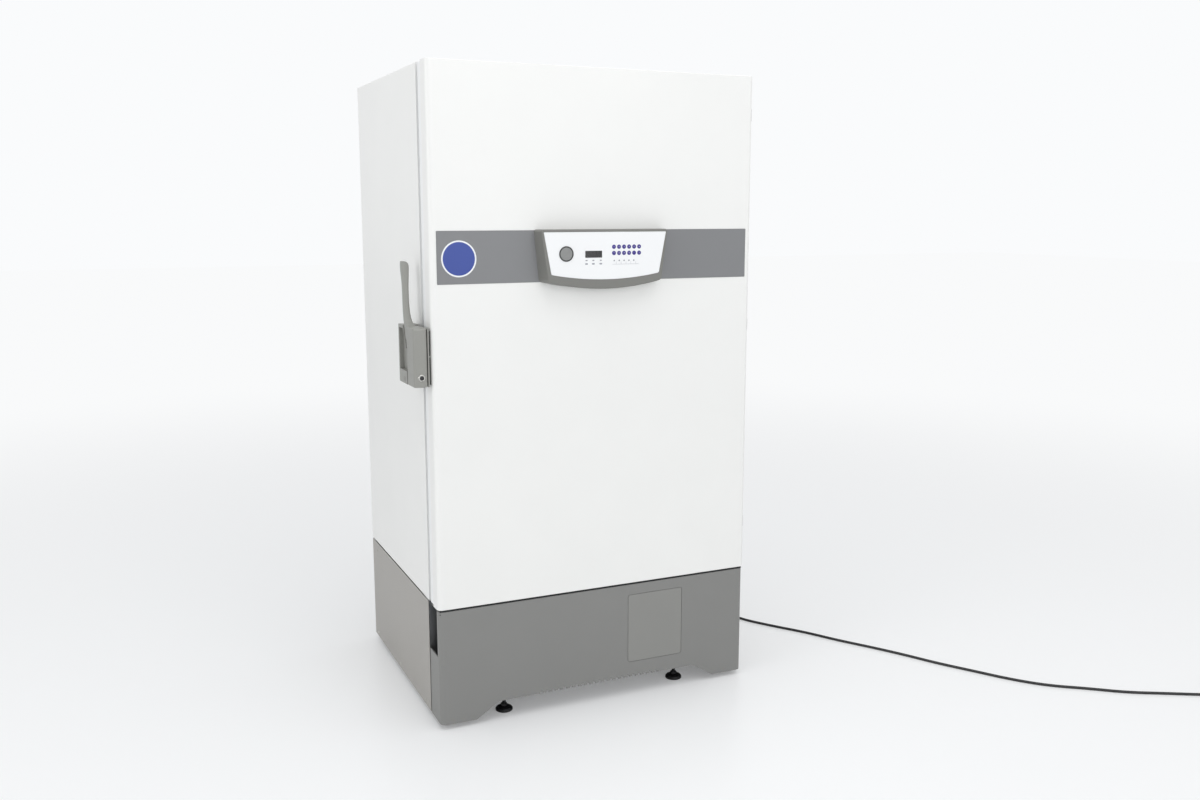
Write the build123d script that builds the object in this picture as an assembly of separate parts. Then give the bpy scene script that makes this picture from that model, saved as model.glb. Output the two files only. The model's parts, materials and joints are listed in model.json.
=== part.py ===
from build123d import *
import math
import os

# Ultra low temperature upright freezer, in millimetres, +Z up.
# The shape is drawn with x = 0 on the door's centre line, y = 0 on the door's front face
# and z = 0 on the floor, and every piece is moved to the middle of the footprint at the end.

# Cabinet
cabinet_width = 1050.0
total_height = 1960.0
cabinet_rear = 840.0
cabinet_bottom = 380.0
sheet = 1.5
shell_corner = 4.0
breaker_depth = 12.0
rib_height = 3.0
rib_width = 30.0
rib_reach = 420.0
port_drop = 260.0
port_flange_radius = 32.0
port_neck_radius = 20.0
port_flange = 8.0
port_slot = 4.0
spacer_radius = 22.0
spacer_length = 25.0
spacer_inset = 110.0

# Storage space behind the inner doors
side_wall = 80.0
floor_wall = 130.0
ceiling_wall = 110.0
rear_wall = 100.0
liner_sheet = 1.5
compartments = 5
shelf_door_gap = 8.0
shelf_rear_gap = 10.0
shelf_fold = 16.0
shelf_play = 0.5
ladder_thickness = 4.0
ladder_width = 24.0
ladder_end = 20.0
ledge_reach = 10.0
ledge_height = 6.0
ladder_inset = 65.0

# Inner doors
inner_door_gap = 8.0
inner_door_setback = 15.0
inner_door_thickness = 30.0
inner_door_play = 4.0
inner_hinge_inset = 14.0
inner_hinge_back = 8.0
bracket_thickness = 3.0
bracket_width = 26.0
bracket_depth = 24.0
inner_pin_radius = 3.0
inner_pin_reach = 10.0
running_gap = 0.05
rest_gap = 0.3
inner_frame_width = 26.0
inner_frame_step = 2.0
pull_reach = 8.0
pull_height = 90.0
pull_width = 22.0
pull_inset = 30.0

# Outer door, from the front: steel pan, plastic liner, gasket
pan_depth = 50.0
door_liner_depth = 35.0
gasket_depth = 12.0
door_drop = 2.0
door_edge_radius = 14.0
pan_lip = 14.0
liner_step = 2.0
liner_wall = 2.5
gasket_step = 6.0
gasket_width = 36.0
gasket_groove = 3.0
plug_height = 8.0
plug_inset = 104.0
plug_slope = 12.0

# Band and control panel on the door
band_end_gap = 20.0
band_low = 1341.0
band_high = 1492.0
band_thickness = 1.0
panel_proud = 46.0
panel_top_half = 212.0
panel_low_half = 197.0
panel_top = 1494.0
panel_low = 1342.0
panel_sag = 22.0
panel_wall = 3.0
panel_corner = 10.0
panel_top_draft = 8.0
panel_low_draft = 13.0
panel_top_drop = 2.0
panel_low_drop = 1.0
fascia_rim = 6.0
fascia_low_side_rim = 9.5
fascia_low_rim = 22.5
fascia_sag = 16.5
fascia_corner = 12.0
fascia_play = 0.2
fascia_thickness = 2.0
key_radius = 6.2
key_rise = 0.6
key_pitch = 16.6
key_first = 24.8
key_rows = (1442.5, 1424.1)
key_columns = 6
small_key_width = 9.0
small_key_height = 5.0
small_key_columns = (-64.0, -42.0, -18.0)
small_key_rows = (1403.5, 1393.5)
display_middle = -41.0
display_height = 1421.5
display_width = 54.0
display_tall = 20.0
display_depth = 1.0
sounder_x = -128.0
sounder_z = 1423.5
sounder_radius = 22.5
sounder_rise = 2.0
sounder_groove = 1.0
sounder_rim = 4.5

# Latch handle on the door's left edge
handle_standoff = 10.0
handle_thickness = 42.0
handle_low = 1050.0
handle_high = 1220.0
handle_rear = 168.0
handle_wall = 4.0
handle_skin = 3.0
back_plate = 4.0
back_plate_front = 6.0
back_plate_rear = 162.0
cheek_front = 82.0
cheek_slope_drop = 64.0
cheek_slope_run = 36.0
cheek_corner = 6.0
cheek_pocket = 8.0
cheek_recess = 13.0
recess_rim = 9.0
recess_low = 1088.0
pad_front = 10.0
pad_rear = 46.0
pad_margin = 6.0
pivot_y = 109.0
pivot_z = 1063.0
pivot_radius = 4.0
boss_radius = 8.0
ear_inset = 24.0
ear_width = 10.0
ear_play = 2.0
grip_front = 2.0
grip_rear = 76.0
grip_play = 2.0
grip_round = 11.0
lever_top = 1405.0
lever_width = 17.0
lever_depth = 23.0
lever_rear = 118.0
lever_sink = 30.0
lever_corner = 6.0
neck_drop = 72.0
flare_width = 9.0
flare_depth = 14.0
flare_lean = 24.0
flare_rise = 75.0
flare_steps = 3
wedge_drop = 66.0
wedge_lap = 20.0
paddle_width = 22.0
paddle_depth = 31.0
paddle_lean = 13.0
paddle_drop = 26.0
paddle_round = 4.0
paddle_proud = 1.0
lock_inset = 21.4
lock_z = 1077.7
lock_radius = 10.0
lock_depth = 34.0
lock_proud = 2.5
keyway_width = 2.4
keyway_length = 9.0
keeper_y = 150.0
keeper_z = 1075.0
keeper_radius = 5.0
keeper_plate = 3.0
keeper_width = 34.0
keeper_height = 60.0
keeper_below = 20.0
keeper_room = 3.0
hook_gap = 1.2
hook_bar = 9.0
hook_end = 162.0
hook_finger = 5.0

# Door hinges on the right edge
hinge_standoff = 16.0
hinge_y = 60.0
knuckle_radius = 12.0
knuckle_height = 36.0
hinge_pin_radius = 5.0
hinge_leaf = 4.0
hinge_low_gap = 92.0
hinge_top_gap = 170.0
hinge_arm = 12.0
cabinet_leaf_rear = 165.0
cabinet_leaf_front = 108.0

# Base: frame, deck, panels, cover
frame_low = 95.0
frame_tube = 40.0
tube_wall = 3.0
post_low = 24.0
post_front = 112.0
frame_rear_gap = 4.0
front_beam = 42.0
front_beam_depth = 50.0
caster_beam = 140.0
caster_beam_depth = 60.0
sill_depth = 15.0
sill_height = 20.0
deck_thickness = 3.0
side_panel_low = 18.0
side_panel_gap = 3.0
side_panel_front = 108.0
side_panel_sheet = 2.0
side_flange = 12.0
screw_radius = 4.5
screw_head = 2.0
screw_places = ((164.0, 34.0), (476.0, 34.0), (793.0, 34.0), (782.0, 347.0))
cover_side_gap = 2.0
cover_wall = 3.5
cover_top_gap = 8.0
cover_low = 16.0
cover_rear_gap = 2.0
cover_corner = 18.0
cover_lip = 12.0
arch_high = 62.0
arch_half = 339.0
arch_foot = 412.0
arch_round = 34.0
intake_half = 205.0
intake_pitch = 20.0
intake_slot = 9.0
intake_rise = 6.0
finger_low = 227.0
finger_front = 24.0
cover_hinge_inset = 10.0
cover_hinge_lead = 8.0
cover_hinge_levels = (140.0, 330.0)
cover_pin_radius = 3.0
cover_ear = 12.0
cover_ear_width = 14.0
blank_left = 98.0
blank_right = 293.0
blank_low = 112.0
blank_high = 339.0
blank_depth = 2.0
blank_corner = 8.0
blank_play = 0.4

# Casters and levelling feet
caster_inset = 98.0
caster_front_y = 170.0
caster_rear_inset = 68.0
wheel_radius = 35.0
wheel_width = 26.0
wheel_hub_width = 30.0
wheel_hub_radius = 13.0
axle_radius = 5.0
caster_trail = 22.0
caster_plate = 5.0
caster_plate_half = 34.0
caster_plate_depth = 60.0
kingpin_radius = 6.0
fork_wall = 4.0
fork_crown = 6.0
crown_radius = 24.0
fork_play = 0.5
fork_end = 10.5
foot_inset = 182.0
foot_y = 67.0
foot_radius = 27.0
foot_height = 12.0
stem_radius = 6.0
foot_nut_radius = 12.0
foot_nut_height = 12.0
stem_top = 125.0

# Cooling plant in the base
filter_margin = 20.0
filter_high = 350.0
filter_front = 118.0
filter_depth = 14.0
filter_bars = 5
coil_half = 280.0
coil_high = 345.0
coil_front = 170.0
coil_depth = 44.0
fin_count = 15
fin_thickness = 1.5
coil_tubes = 5
coil_tube_height = 8.0
coil_tube_depth = 26.0
shroud_front = 226.0
shroud_depth = 34.0
shroud_wall = 2.0
fan_x = 0.0
fan_z = 247.0
fan_opening = 93.0
fan_radius = 89.0
fan_hub = 26.0
fan_depth = 22.0
fan_blades = 5
fan_blade_sheet = 2.0
fan_blade_width = 34.0
blade_pitch = 30.0
motor_radius = 38.0
motor_length = 50.0
motor_shaft = 4.0
motor_arm = 10.0
compressor_x = 210.0
compressor_y = 560.0
compressor_radius = 92.0
compressor_shoulder = 34.0
compressor_height = 190.0
compressor_foot = 10.0
compressor_plate = 4.0
compressor_plate_half = 110.0
compressor_plate_depth = 124.0
compressor_pad = 20.0
pipe_radius = 5.0
pipe_sink = 2.0
pipe_side = 36.0
pipe_run = 50.0
riser_x = 70.0
box_side_gap = 13.0
box_coil_gap = 50.0
box_front = 190.0
box_rear = 420.0
box_high = 330.0
box_wall = 2.0
grille_sheet = 2.0
grille_low = 20.0
grille_slots = 15
grille_slot_width = 8.0
grille_slot_height = 76.0
grille_pitch = 32.0
grille_rows = (150.0, 258.0)
grille_middle = -60.0
switch_inset = 123.0
switch_z = 92.0
switch_half_width = 11.0
switch_half_height = 15.0
switch_wall = 3.0
switch_depth = 22.0
switch_play = 0.1
switch_rim = 3.0
switch_rim_depth = 2.0
rocker_pin = 2.0
rocker_sink = 4.0
rocker_play = 0.4
rocker_end_play = 2.5
rocker_root = 4.0
rocker_heel = 6.0

# Mains lead. The route's points lie in the finished part's own frame, and the whole lead
# moves with the gland that it leaves.
cord_sink = 0.5
gland_inset = 53.0
gland_z = 90.0
gland_radius = 15.0
gland_flange = 6.0
gland_neck_radius = 10.0
gland_lip = 2.0
gland_hole_radius = 10.5
cord_radius = 4.5
cord_route = (
    (442.5, 456.0, 90.0),
    (443.0, 502.0, 87.0),
    (452.0, 554.0, 62.0),
    (474.0, 590.0, 28.0),
    (516.0, 611.0, 4.5),
    (574.0, 596.0, 4.5),
    (640.0, 540.0, 4.5),
    (690.0, 450.0, 4.5),
    (724.0, 344.0, 4.5),
    (753.0, 234.0, 4.5),
    (774.0, 124.0, 4.5),
    (806.0, 14.0, 4.5),
    (874.0, -92.0, 4.5),
    (948.0, -195.0, 4.5),
    (1008.0, -305.0, 4.5),
    (1079.0, -412.0, 4.5),
    (1143.0, -519.0, 4.5),
    (1195.0, -621.0, 4.5),
    (1261.0, -724.0, 4.5),
    (1327.0, -831.0, 4.5),
    (1402.0, -920.0, 4.5),
    (1500.0, -989.0, 4.5),
    (1595.0, -1066.0, 4.5),
    (1702.0, -1123.0, 4.5),
    (1806.0, -1181.0, 4.5),
    (1860.0, -1207.0, 4.5),
    (1905.0, -1228.0, 4.5),
)
coil_centre = (1926.0, -1185.0)
coil_turn_radius = 48.0
coil_layers = 3
tail_route = (
    (1905.0, -1228.0, 22.5),
    (1942.0, -1246.5, 19.0),
    (1980.0, -1263.0, 12.5),
    (2016.0, -1281.0, 11.0),
)
plug_length = 46.0
plug_width = 36.0
plug_tall = 22.0
plug_grip = 24.0
plug_neck = 14.0
plug_corner = 4.0
blade_length = 18.0
blade_width = 6.4
blade_spacing = 12.7
blade_sheet = 1.6
blade_rise = 3.0
earth_drop = 6.0
earth_radius = 2.4
earth_longer = 2.0

# Sizes that follow from the ones above
half_width = cabinet_width / 2
cabinet_front = pan_depth + door_liner_depth + gasket_depth
cavity_half = half_width - side_wall
cavity_floor = cabinet_bottom + floor_wall
cavity_ceiling = total_height - ceiling_wall
cavity_rear = cabinet_rear - rear_wall
port_height = total_height - port_drop
door_bottom = cabinet_bottom - door_drop
band_half = half_width - band_end_gap
handle_inner = half_width + handle_standoff
handle_outer = handle_inner + handle_thickness
ear_outer = handle_outer - ear_inset
lock_x = handle_outer - lock_inset
hinge_x = half_width + hinge_standoff
low_hinge = door_bottom + hinge_low_gap
top_hinge = total_height - hinge_top_gap
hinge_levels = (low_hinge, (low_hinge + top_hinge) / 2, top_hinge)
inner_door_front = cabinet_front + inner_door_setback
post_outer = half_width - side_panel_sheet
post_inner = post_outer - frame_tube
caster_x = post_inner - caster_inset
foot_x = post_inner - foot_inset
switch_x = post_inner - switch_inset
gland_x = post_inner - gland_inset
filter_half = coil_half + filter_margin
box_left = box_side_gap - post_inner
box_right = -coil_half - box_coil_gap
frame_rear = cabinet_rear - frame_rear_gap
caster_rear_y = frame_rear - caster_rear_inset
cover_half = half_width - cover_side_gap
cover_top = cabinet_bottom - cover_top_gap
cover_rear = side_panel_front - cover_rear_gap
cover_hinge_x = cover_half - cover_hinge_inset
cover_hinge_y = cover_rear - cover_hinge_lead
frame_high = frame_low + frame_tube
deck_top = frame_high + deck_thickness
shelf_pitch = (cavity_ceiling - cavity_floor) / compartments
inner_door_half = cavity_half - inner_door_play
inner_hinge_x = cavity_half - inner_hinge_inset
inner_hinge_y = inner_door_front + inner_hinge_back
inner_door_rear = inner_door_front + inner_door_thickness
shelf_front = inner_door_rear + shelf_door_gap
shelf_depth = cavity_rear - shelf_rear_gap - shelf_front
ladder_rows = (shelf_front + ladder_inset, cavity_rear - shelf_rear_gap - ladder_inset)
ear_inner = ear_outer - ear_width
wheel_trail_y = caster_front_y + caster_trail
plate_bottom = frame_low - caster_plate
rear_reach = cabinet_rear + spacer_length
origin_x = (hinge_x + knuckle_radius - handle_outer - paddle_proud) / 2
origin_y = (rear_reach - panel_proud - sounder_rise) / 2
lead_shift_x = gland_x - origin_x - cord_route[0][0]
lead_shift_y = rear_reach - cord_sink - origin_y - cord_route[0][1]


def block(x0, x1, y0, y1, z0, z1):
    """Rectangular solid between two opposite corners."""
    middle = Pos((x0 + x1) / 2, (y0 + y1) / 2, (z0 + z1) / 2)
    return middle * Box(abs(x1 - x0), abs(y1 - y0), abs(z1 - z0))


def rod(start, end, radius):
    """Round bar from one point to another."""
    way = Vector(*end) - Vector(*start)
    return extrude(Plane(origin=start, z_dir=way) * Circle(radius), amount=way.length)


def facing(y):
    """Plane at depth y, seen from the front: its own x is +X and its own y is +Z."""
    return Plane(origin=(0, y, 0), x_dir=(1, 0, 0), z_dir=(0, -1, 0))


def sideways(x):
    """Plane at x: its own x is +Y and its own y is +Z."""
    return Plane(origin=(x, 0, 0), x_dir=(0, 1, 0), z_dir=(1, 0, 0))


def between_depths(outline, y0, y1):
    """Solid of a front outline from depth y0 back to y1."""
    return extrude(facing(y0) * outline, amount=y0 - y1)


def mirrored_pair(shape):
    """A piece on the right and its mirror image on the left, as separate solids."""
    return list(shape.solids()) + list(mirror(shape, Plane.YZ).solids())


def cabinet_section(inset):
    """Outline of the cabinet across its width and height, set in by an amount."""
    wide = cabinet_width - 2 * inset
    tall = total_height - cabinet_bottom - 2 * inset
    middle = Pos(0, (cabinet_bottom + total_height) / 2)
    return middle * RectangleRounded(wide, tall, shell_corner - inset)


def cavity_block(y0, y1, grow):
    """Storage space between two depths, grown by an amount."""
    half = cavity_half + grow
    return block(-half, half, y0, y1, cavity_floor - grow, cavity_ceiling + grow)


def cabinet_shell():
    """Painted steel wrapper: sides, top and bottom, open at the front and the rear."""
    outer = between_depths(cabinet_section(0), cabinet_front, cabinet_rear)
    return outer - between_depths(cabinet_section(sheet), cabinet_front, cabinet_rear)


def cabinet_back():
    """Rear sheet inside the wrapper, with pressed stiffening ribs and the port's hole."""
    back = between_depths(cabinet_section(sheet), cabinet_rear - sheet, cabinet_rear)
    tall = total_height - cabinet_bottom
    for share in (0.2, 0.45, 0.7):
        z = cabinet_bottom + share * tall
        top, low = z + rib_width / 2, z - rib_width / 2
        rib = block(-rib_reach, rib_reach, cabinet_rear - sheet, cabinet_rear + rib_height, low, top)
        outer_edges = rib.faces().sort_by(Axis.Y)[-1].edges()
        back += chamfer(outer_edges, rib_height * 0.8)
    return back - rod(
        (0, cabinet_rear - 2 * sheet, port_height),
        (0, cabinet_rear + sheet, port_height),
        port_neck_radius + rest_gap,
    )


def cabinet_insulation():
    """Foam between the wrapper and the liner, open at the front."""
    foam = between_depths(cabinet_section(sheet), cabinet_front + breaker_depth, cabinet_rear - sheet)
    return foam - cavity_block(cabinet_front, cavity_rear + liner_sheet, liner_sheet)


def inner_liner():
    """Stainless tank of the storage space."""
    front = cabinet_front + breaker_depth
    tank = cavity_block(front, cavity_rear + liner_sheet, liner_sheet)
    return tank - cavity_block(front - 1, cavity_rear, 0)


def breaker_frame():
    """Plastic frame that closes the wall's front edge and meets the gasket."""
    rear = cabinet_front + breaker_depth
    frame = between_depths(cabinet_section(sheet), cabinet_front, rear)
    return frame - cavity_block(cabinet_front - 1, rear + 1, 0)


def shelf_height(number):
    """Middle height of a shelf, counted from the cavity's floor."""
    return cavity_floor + number * shelf_pitch


def shelves():
    """Folded stainless shelves, one between each two compartments."""
    made = []
    half = cavity_half - ladder_thickness - shelf_play
    rear = shelf_front + shelf_depth
    for number in range(1, compartments):
        top = shelf_height(number) + shelf_fold / 2
        low = top - shelf_fold
        tray = block(-half, half, shelf_front, rear, low, top)
        tray -= block(
            -half + 2 * sheet,
            half - 2 * sheet,
            shelf_front + sheet,
            rear - sheet,
            low - 1,
            top - sheet,
        )
        made.append(tray)
    return made


def shelf_ladders():
    """Four uprights on the side walls, with a ledge under each shelf."""
    made = []
    inner = cavity_half - ladder_thickness
    for y in ladder_rows:
        front, rear = y - ladder_width / 2, y + ladder_width / 2
        ladder = block(inner, cavity_half, front, rear, cavity_floor + ladder_end, cavity_ceiling - ladder_end)
        for number in range(1, compartments):
            seat = shelf_height(number) - shelf_fold / 2
            ladder += block(inner - ledge_reach, inner, front, rear, seat - ledge_height, seat)
        made += mirrored_pair(ladder)
    return made


def inner_door_hinges():
    """Brackets at the cavity's right edge, each with the pins of the doors beside it."""
    made = []
    for number in range(compartments + 1):
        z = shelf_height(number)
        low = z - bracket_thickness / 2
        if number == 0:
            low = z
        if number == compartments:
            low = z - bracket_thickness
        top = low + bracket_thickness
        front = inner_hinge_y - bracket_depth / 2
        bracket = block(
            cavity_half - bracket_width, cavity_half, front, front + bracket_depth, low, top
        )
        down = z - inner_door_gap / 2 - inner_pin_reach
        up = z + inner_door_gap / 2 + inner_pin_reach
        if number == 0:
            down = low
        if number == compartments:
            up = top
        bracket += rod((inner_hinge_x, inner_hinge_y, down), (inner_hinge_x, inner_hinge_y, up), inner_pin_radius)
        made.append(bracket)
    return made


def inner_door(number):
    """One foam-filled inner door with a raised border, a pull and a hinge bore at each end."""
    low = shelf_height(number) + inner_door_gap / 2
    top = shelf_height(number + 1) - inner_door_gap / 2
    half = inner_door_half
    panel = block(-half, half, inner_door_front, inner_door_rear, low, top)
    front_uprights = panel.edges().filter_by(Axis.Z).group_by(Axis.Y)[0]
    panel = fillet(front_uprights, inner_frame_step * 2)
    panel -= block(
        -half + inner_frame_width,
        half - inner_frame_width,
        inner_door_front - 1,
        inner_door_front + inner_frame_step,
        low + inner_frame_width,
        top - inner_frame_width,
    )
    middle = (low + top) / 2
    pull_left = -half + pull_inset
    pull = block(
        pull_left,
        pull_left + pull_width,
        inner_door_front - pull_reach,
        inner_door_front + inner_frame_step,
        middle - pull_height / 2,
        middle + pull_height / 2,
    )
    pull = chamfer(pull.faces().sort_by(Axis.Y)[0].edges(), pull_reach * 0.4)
    panel += pull
    depth = inner_pin_reach + 2
    for start, end in ((low - 1, low + depth), (top - depth, top + 1)):
        bore = rod(
            (inner_hinge_x, inner_hinge_y, start),
            (inner_hinge_x, inner_hinge_y, end),
            inner_pin_radius + running_gap,
        )
        panel -= bore
    return panel


def port_plug():
    """Plastic cap of the access port on the rear wall."""
    rear = cabinet_rear + port_flange
    cap = rod((0, cabinet_rear, port_height), (0, rear, port_height), port_flange_radius)
    neck = rod((0, cabinet_rear - sheet, port_height), (0, cabinet_rear, port_height), port_neck_radius)
    half = port_slot / 2
    slot = block(-port_neck_radius, port_neck_radius, rear - half, rear + 1, port_height - half, port_height + half)
    return cap + neck - slot


def rear_spacers():
    """Four buffers that keep the rear off a wall."""
    made = []
    for z in (cabinet_bottom + spacer_inset, total_height - spacer_inset):
        x = half_width - spacer_inset
        made += mirrored_pair(rod((x, cabinet_rear, z), (x, rear_reach, z), spacer_radius))
    return made


def door_body(inset, y_rear):
    """Front part of the door with its rounded upright edges, set in by an amount."""
    half = half_width - inset
    body = block(-half, half, inset, y_rear, door_bottom + inset, total_height - inset)
    uprights = body.edges().filter_by(Axis.Z).group_by(Axis.Y)[0]
    return fillet(uprights, door_edge_radius - inset)


def door_ring(step, width, y0, y1):
    """Rectangular ring around the door's rear, set in from its outline."""
    half = half_width - step
    low, high = door_bottom + step, total_height - step
    ring = block(-half, half, y0, y1, low, high)
    return ring - block(
        -half + width, half - width, y0 - 1, y1 + 1, low + width, high - width
    )


def door_skin():
    """Painted steel pan of the door, with its lip turned in at the back."""
    pan = door_body(0, pan_depth) - door_body(sheet, pan_depth + 1)
    return pan + door_ring(sheet, pan_lip - sheet, pan_depth - sheet, pan_depth)


def door_liner():
    """Plastic inner pan of the door, with a raised plug in its middle."""
    front = pan_depth
    rear = pan_depth + door_liner_depth
    half = half_width - liner_step
    low, high = door_bottom + liner_step, total_height - liner_step
    pan = block(-half, half, front, rear, low, high)
    pan -= block(
        -half + liner_wall,
        half - liner_wall,
        front - 1,
        rear - liner_wall,
        low + liner_wall,
        high - liner_wall,
    )
    wide, tall = half - plug_inset, (high - low) / 2 - plug_inset
    foot = facing(rear) * Pos(0, (low + high) / 2) * Rectangle(2 * wide, 2 * tall)
    face = facing(rear + plug_height) * Pos(0, (low + high) / 2) * Rectangle(
        2 * (wide - plug_slope), 2 * (tall - plug_slope)
    )
    return pan + loft([foot, face])


def door_insulation():
    """Foam core of the outer door."""
    core = door_body(sheet, pan_depth - sheet)
    half = half_width - pan_lip
    core += block(
        -half,
        half,
        pan_depth - sheet,
        pan_depth,
        door_bottom + pan_lip,
        total_height - pan_lip,
    )
    inside = half_width - liner_step - liner_wall
    edge = liner_step + liner_wall
    rear = pan_depth + door_liner_depth - liner_wall
    return core + block(-inside, inside, pan_depth, rear, door_bottom + edge, total_height - edge)


def door_gasket():
    """Silicone seal around the door's rear, with a groove along its outside."""
    front = pan_depth + door_liner_depth
    rear = front + gasket_depth
    seal = door_ring(gasket_step, gasket_width, front, rear)
    third = gasket_depth / 3
    return seal - door_ring(gasket_step, gasket_groove, front + third, rear - third)


def door_band():
    """Thin strip across the door front, behind the control panel."""
    return block(-band_half, band_half, -band_thickness, 0, band_low, band_high)


def panel_outline(top_half, low_half, top, low, sag, corner):
    """Outline of the control panel: straight top, sloped sides and a bowed lower edge."""
    sides = Polyline((-low_half, low), (-top_half, top), (top_half, top), (low_half, low))
    bow = ThreePointArc((low_half, low), (0, low - sag), (-low_half, low))
    face = make_face(sides + bow)
    low_corners = face.vertices().group_by(Axis.Y)[0]
    face = fillet(low_corners, corner)
    return fillet(face.vertices().group_by(Axis.Y)[-1], corner / 3)


def panel_form(inset, front):
    """Tapered form of the control panel, from the band out to a depth in front."""
    foot = facing(-band_thickness) * panel_outline(
        panel_top_half - inset,
        panel_low_half - inset,
        panel_top - inset,
        panel_low + inset,
        panel_sag,
        panel_corner,
    )
    face = facing(front) * panel_outline(
        panel_top_half - panel_top_draft - inset,
        panel_low_half - panel_low_draft - inset,
        panel_top - panel_top_drop - inset,
        panel_low - panel_low_drop + inset,
        panel_sag,
        panel_corner,
    )
    return loft([foot, face])


def fascia_outline(play):
    """Outline of the white front plate inside the panel's rim."""
    return panel_outline(
        panel_top_half - panel_top_draft - fascia_rim - play,
        panel_low_half - panel_low_draft - fascia_low_side_rim - play,
        panel_top - panel_top_drop - fascia_rim - play,
        panel_low - panel_low_drop + fascia_low_rim + play,
        fascia_sag,
        fascia_corner,
    )


def panel_bezel():
    """Hollow moulded housing of the controls, with a seat for the front plate."""
    form = panel_form(0, -panel_proud)
    hollow = panel_form(panel_wall, -panel_proud + fascia_thickness + panel_wall)
    seat = between_depths(fascia_outline(0), -panel_proud - 1, -panel_proud + fascia_thickness)
    return form - hollow - seat


def panel_fascia():
    """White front plate with the keys' and the display's places."""
    plate = between_depths(fascia_outline(fascia_play), -panel_proud, -panel_proud + fascia_thickness)
    window = display_box(fascia_play, display_depth)
    return plate - window


def display_box(play, depth):
    """Space of the display's window."""
    half = display_width / 2 + play
    tall = display_tall / 2 + play
    return block(
        display_middle - half,
        display_middle + half,
        -panel_proud - play,
        -panel_proud + depth,
        display_height - tall,
        display_height + tall,
    )


def display_window():
    """Dark window of the temperature display."""
    return display_box(0, display_depth)


def panel_keys():
    """Round membrane keys in two rows and small keys under the display."""
    made = []
    for z in key_rows:
        for column in range(key_columns):
            x = key_first + column * key_pitch
            made.append(rod((x, -panel_proud, z), (x, -panel_proud - key_rise, z), key_radius))
    for z in small_key_rows:
        for x in small_key_columns:
            pad = Pos(x, z) * Rectangle(small_key_width, small_key_height)
            made.append(between_depths(pad, -panel_proud - key_rise / 2, -panel_proud))
    return made


def alarm_sounder():
    """Round grille of the alarm sounder: a disc with a raised rim."""
    front = -panel_proud - sounder_rise
    disc = rod((sounder_x, -panel_proud, sounder_z), (sounder_x, front, sounder_z), sounder_radius)
    start = (sounder_x, front - 1, sounder_z)
    end = (sounder_x, front + sounder_groove, sounder_z)
    return disc - rod(start, end, sounder_radius - sounder_rim)


def cheek_profile(wall, floor_z):
    """Side outline of the handle's fixed housing, set in by a wall."""
    low, high = max(handle_low + wall, floor_z), handle_high - wall
    slope_start = (cheek_front, handle_high - cheek_slope_drop)
    slope_end = (cheek_front + cheek_slope_run, high)
    rear = handle_rear - wall
    return make_face(Polyline((cheek_front, low), slope_start, slope_end, (rear, high), (rear, low), close=True))


def handle_base():
    """Fixed housing of the latch handle: back plate, hollow cheek, pads and pivot pin."""
    back_inner = handle_inner - back_plate
    cheek = extrude(sideways(-handle_outer) * cheek_profile(0, 0), amount=handle_outer - back_inner)
    rear_edges = cheek.edges().filter_by(Axis.X).group_by(Axis.Y)[-1]
    housing = fillet(rear_edges, cheek_corner)
    hollow_outer = handle_outer - handle_wall
    hollow = cheek_profile(handle_skin, 0)
    housing -= extrude(sideways(-hollow_outer) * hollow, amount=hollow_outer - handle_inner)
    housing -= block(
        -hollow_outer,
        -handle_inner,
        cheek_front - 1,
        cheek_front + cheek_pocket,
        handle_low + handle_skin,
        handle_high - cheek_slope_drop,
    )
    floor = cheek_profile(0, recess_low - handle_wall)
    housing += extrude(sideways(-handle_outer) * floor, amount=cheek_recess + handle_wall / 2)
    recess = cheek_profile(recess_rim, recess_low)
    housing -= extrude(sideways(-handle_outer - 1) * recess, amount=cheek_recess + 1)
    plate_high = handle_high - handle_wall
    housing += block(-handle_inner, -back_inner, back_plate_front, back_plate_rear, handle_low, plate_high)
    housing += block(
        -back_inner, -half_width, pad_front, pad_rear, handle_low + pad_margin, plate_high - pad_margin
    )
    housing += rod((-hollow_outer, pivot_y, pivot_z), (-handle_inner, pivot_y, pivot_z), pivot_radius)
    housing -= block(
        -handle_outer + cheek_recess + handle_wall,
        -half_width,
        keeper_y - keeper_width / 2 - keeper_room,
        handle_rear + 1,
        handle_low + handle_wall,
        keeper_z + keeper_radius + hook_gap + hook_bar + keeper_room,
    )
    return housing - block(
        -ear_outer - ear_play,
        -ear_inner + ear_play,
        cheek_front - 1,
        pivot_y + boss_radius,
        handle_low - 1,
        handle_low + handle_wall,
    )


def lever_section(z, width, rear, depth, proud):
    """Rounded rectangle of the lever at one height."""
    outer = handle_outer + proud
    middle = Pos(-outer + width / 2, rear - depth / 2)
    return Plane.XY.offset(z) * middle * RectangleRounded(width, depth, lever_corner)


def lever_shape():
    """Lever from the grip's top to its paddle end: it flares forward into the grip."""
    start = handle_high - lever_sink
    sections = []
    for step in range(flare_steps + 1):
        flare = (1 - step / flare_steps) ** 2
        sections.append(
            lever_section(
                start + flare_rise * step / flare_steps,
                lever_width + flare_width * flare,
                lever_rear - flare_lean * flare,
                lever_depth + flare_depth * flare,
                0,
            )
        )
    paddle_rear = lever_rear + paddle_lean
    sections.append(lever_section(lever_top - neck_drop, lever_width, lever_rear, lever_depth, 0))
    sections.append(lever_section(lever_top - paddle_drop, paddle_width, paddle_rear, paddle_depth, paddle_proud))
    short = paddle_round
    sections.append(lever_section(lever_top - short, paddle_width, paddle_rear + 1, paddle_depth, paddle_proud))
    sections.append(
        lever_section(lever_top, paddle_width - short, paddle_rear + 1 - short / 2, paddle_depth - short, 0)
    )
    return loft(sections, ruled=True)


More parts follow.
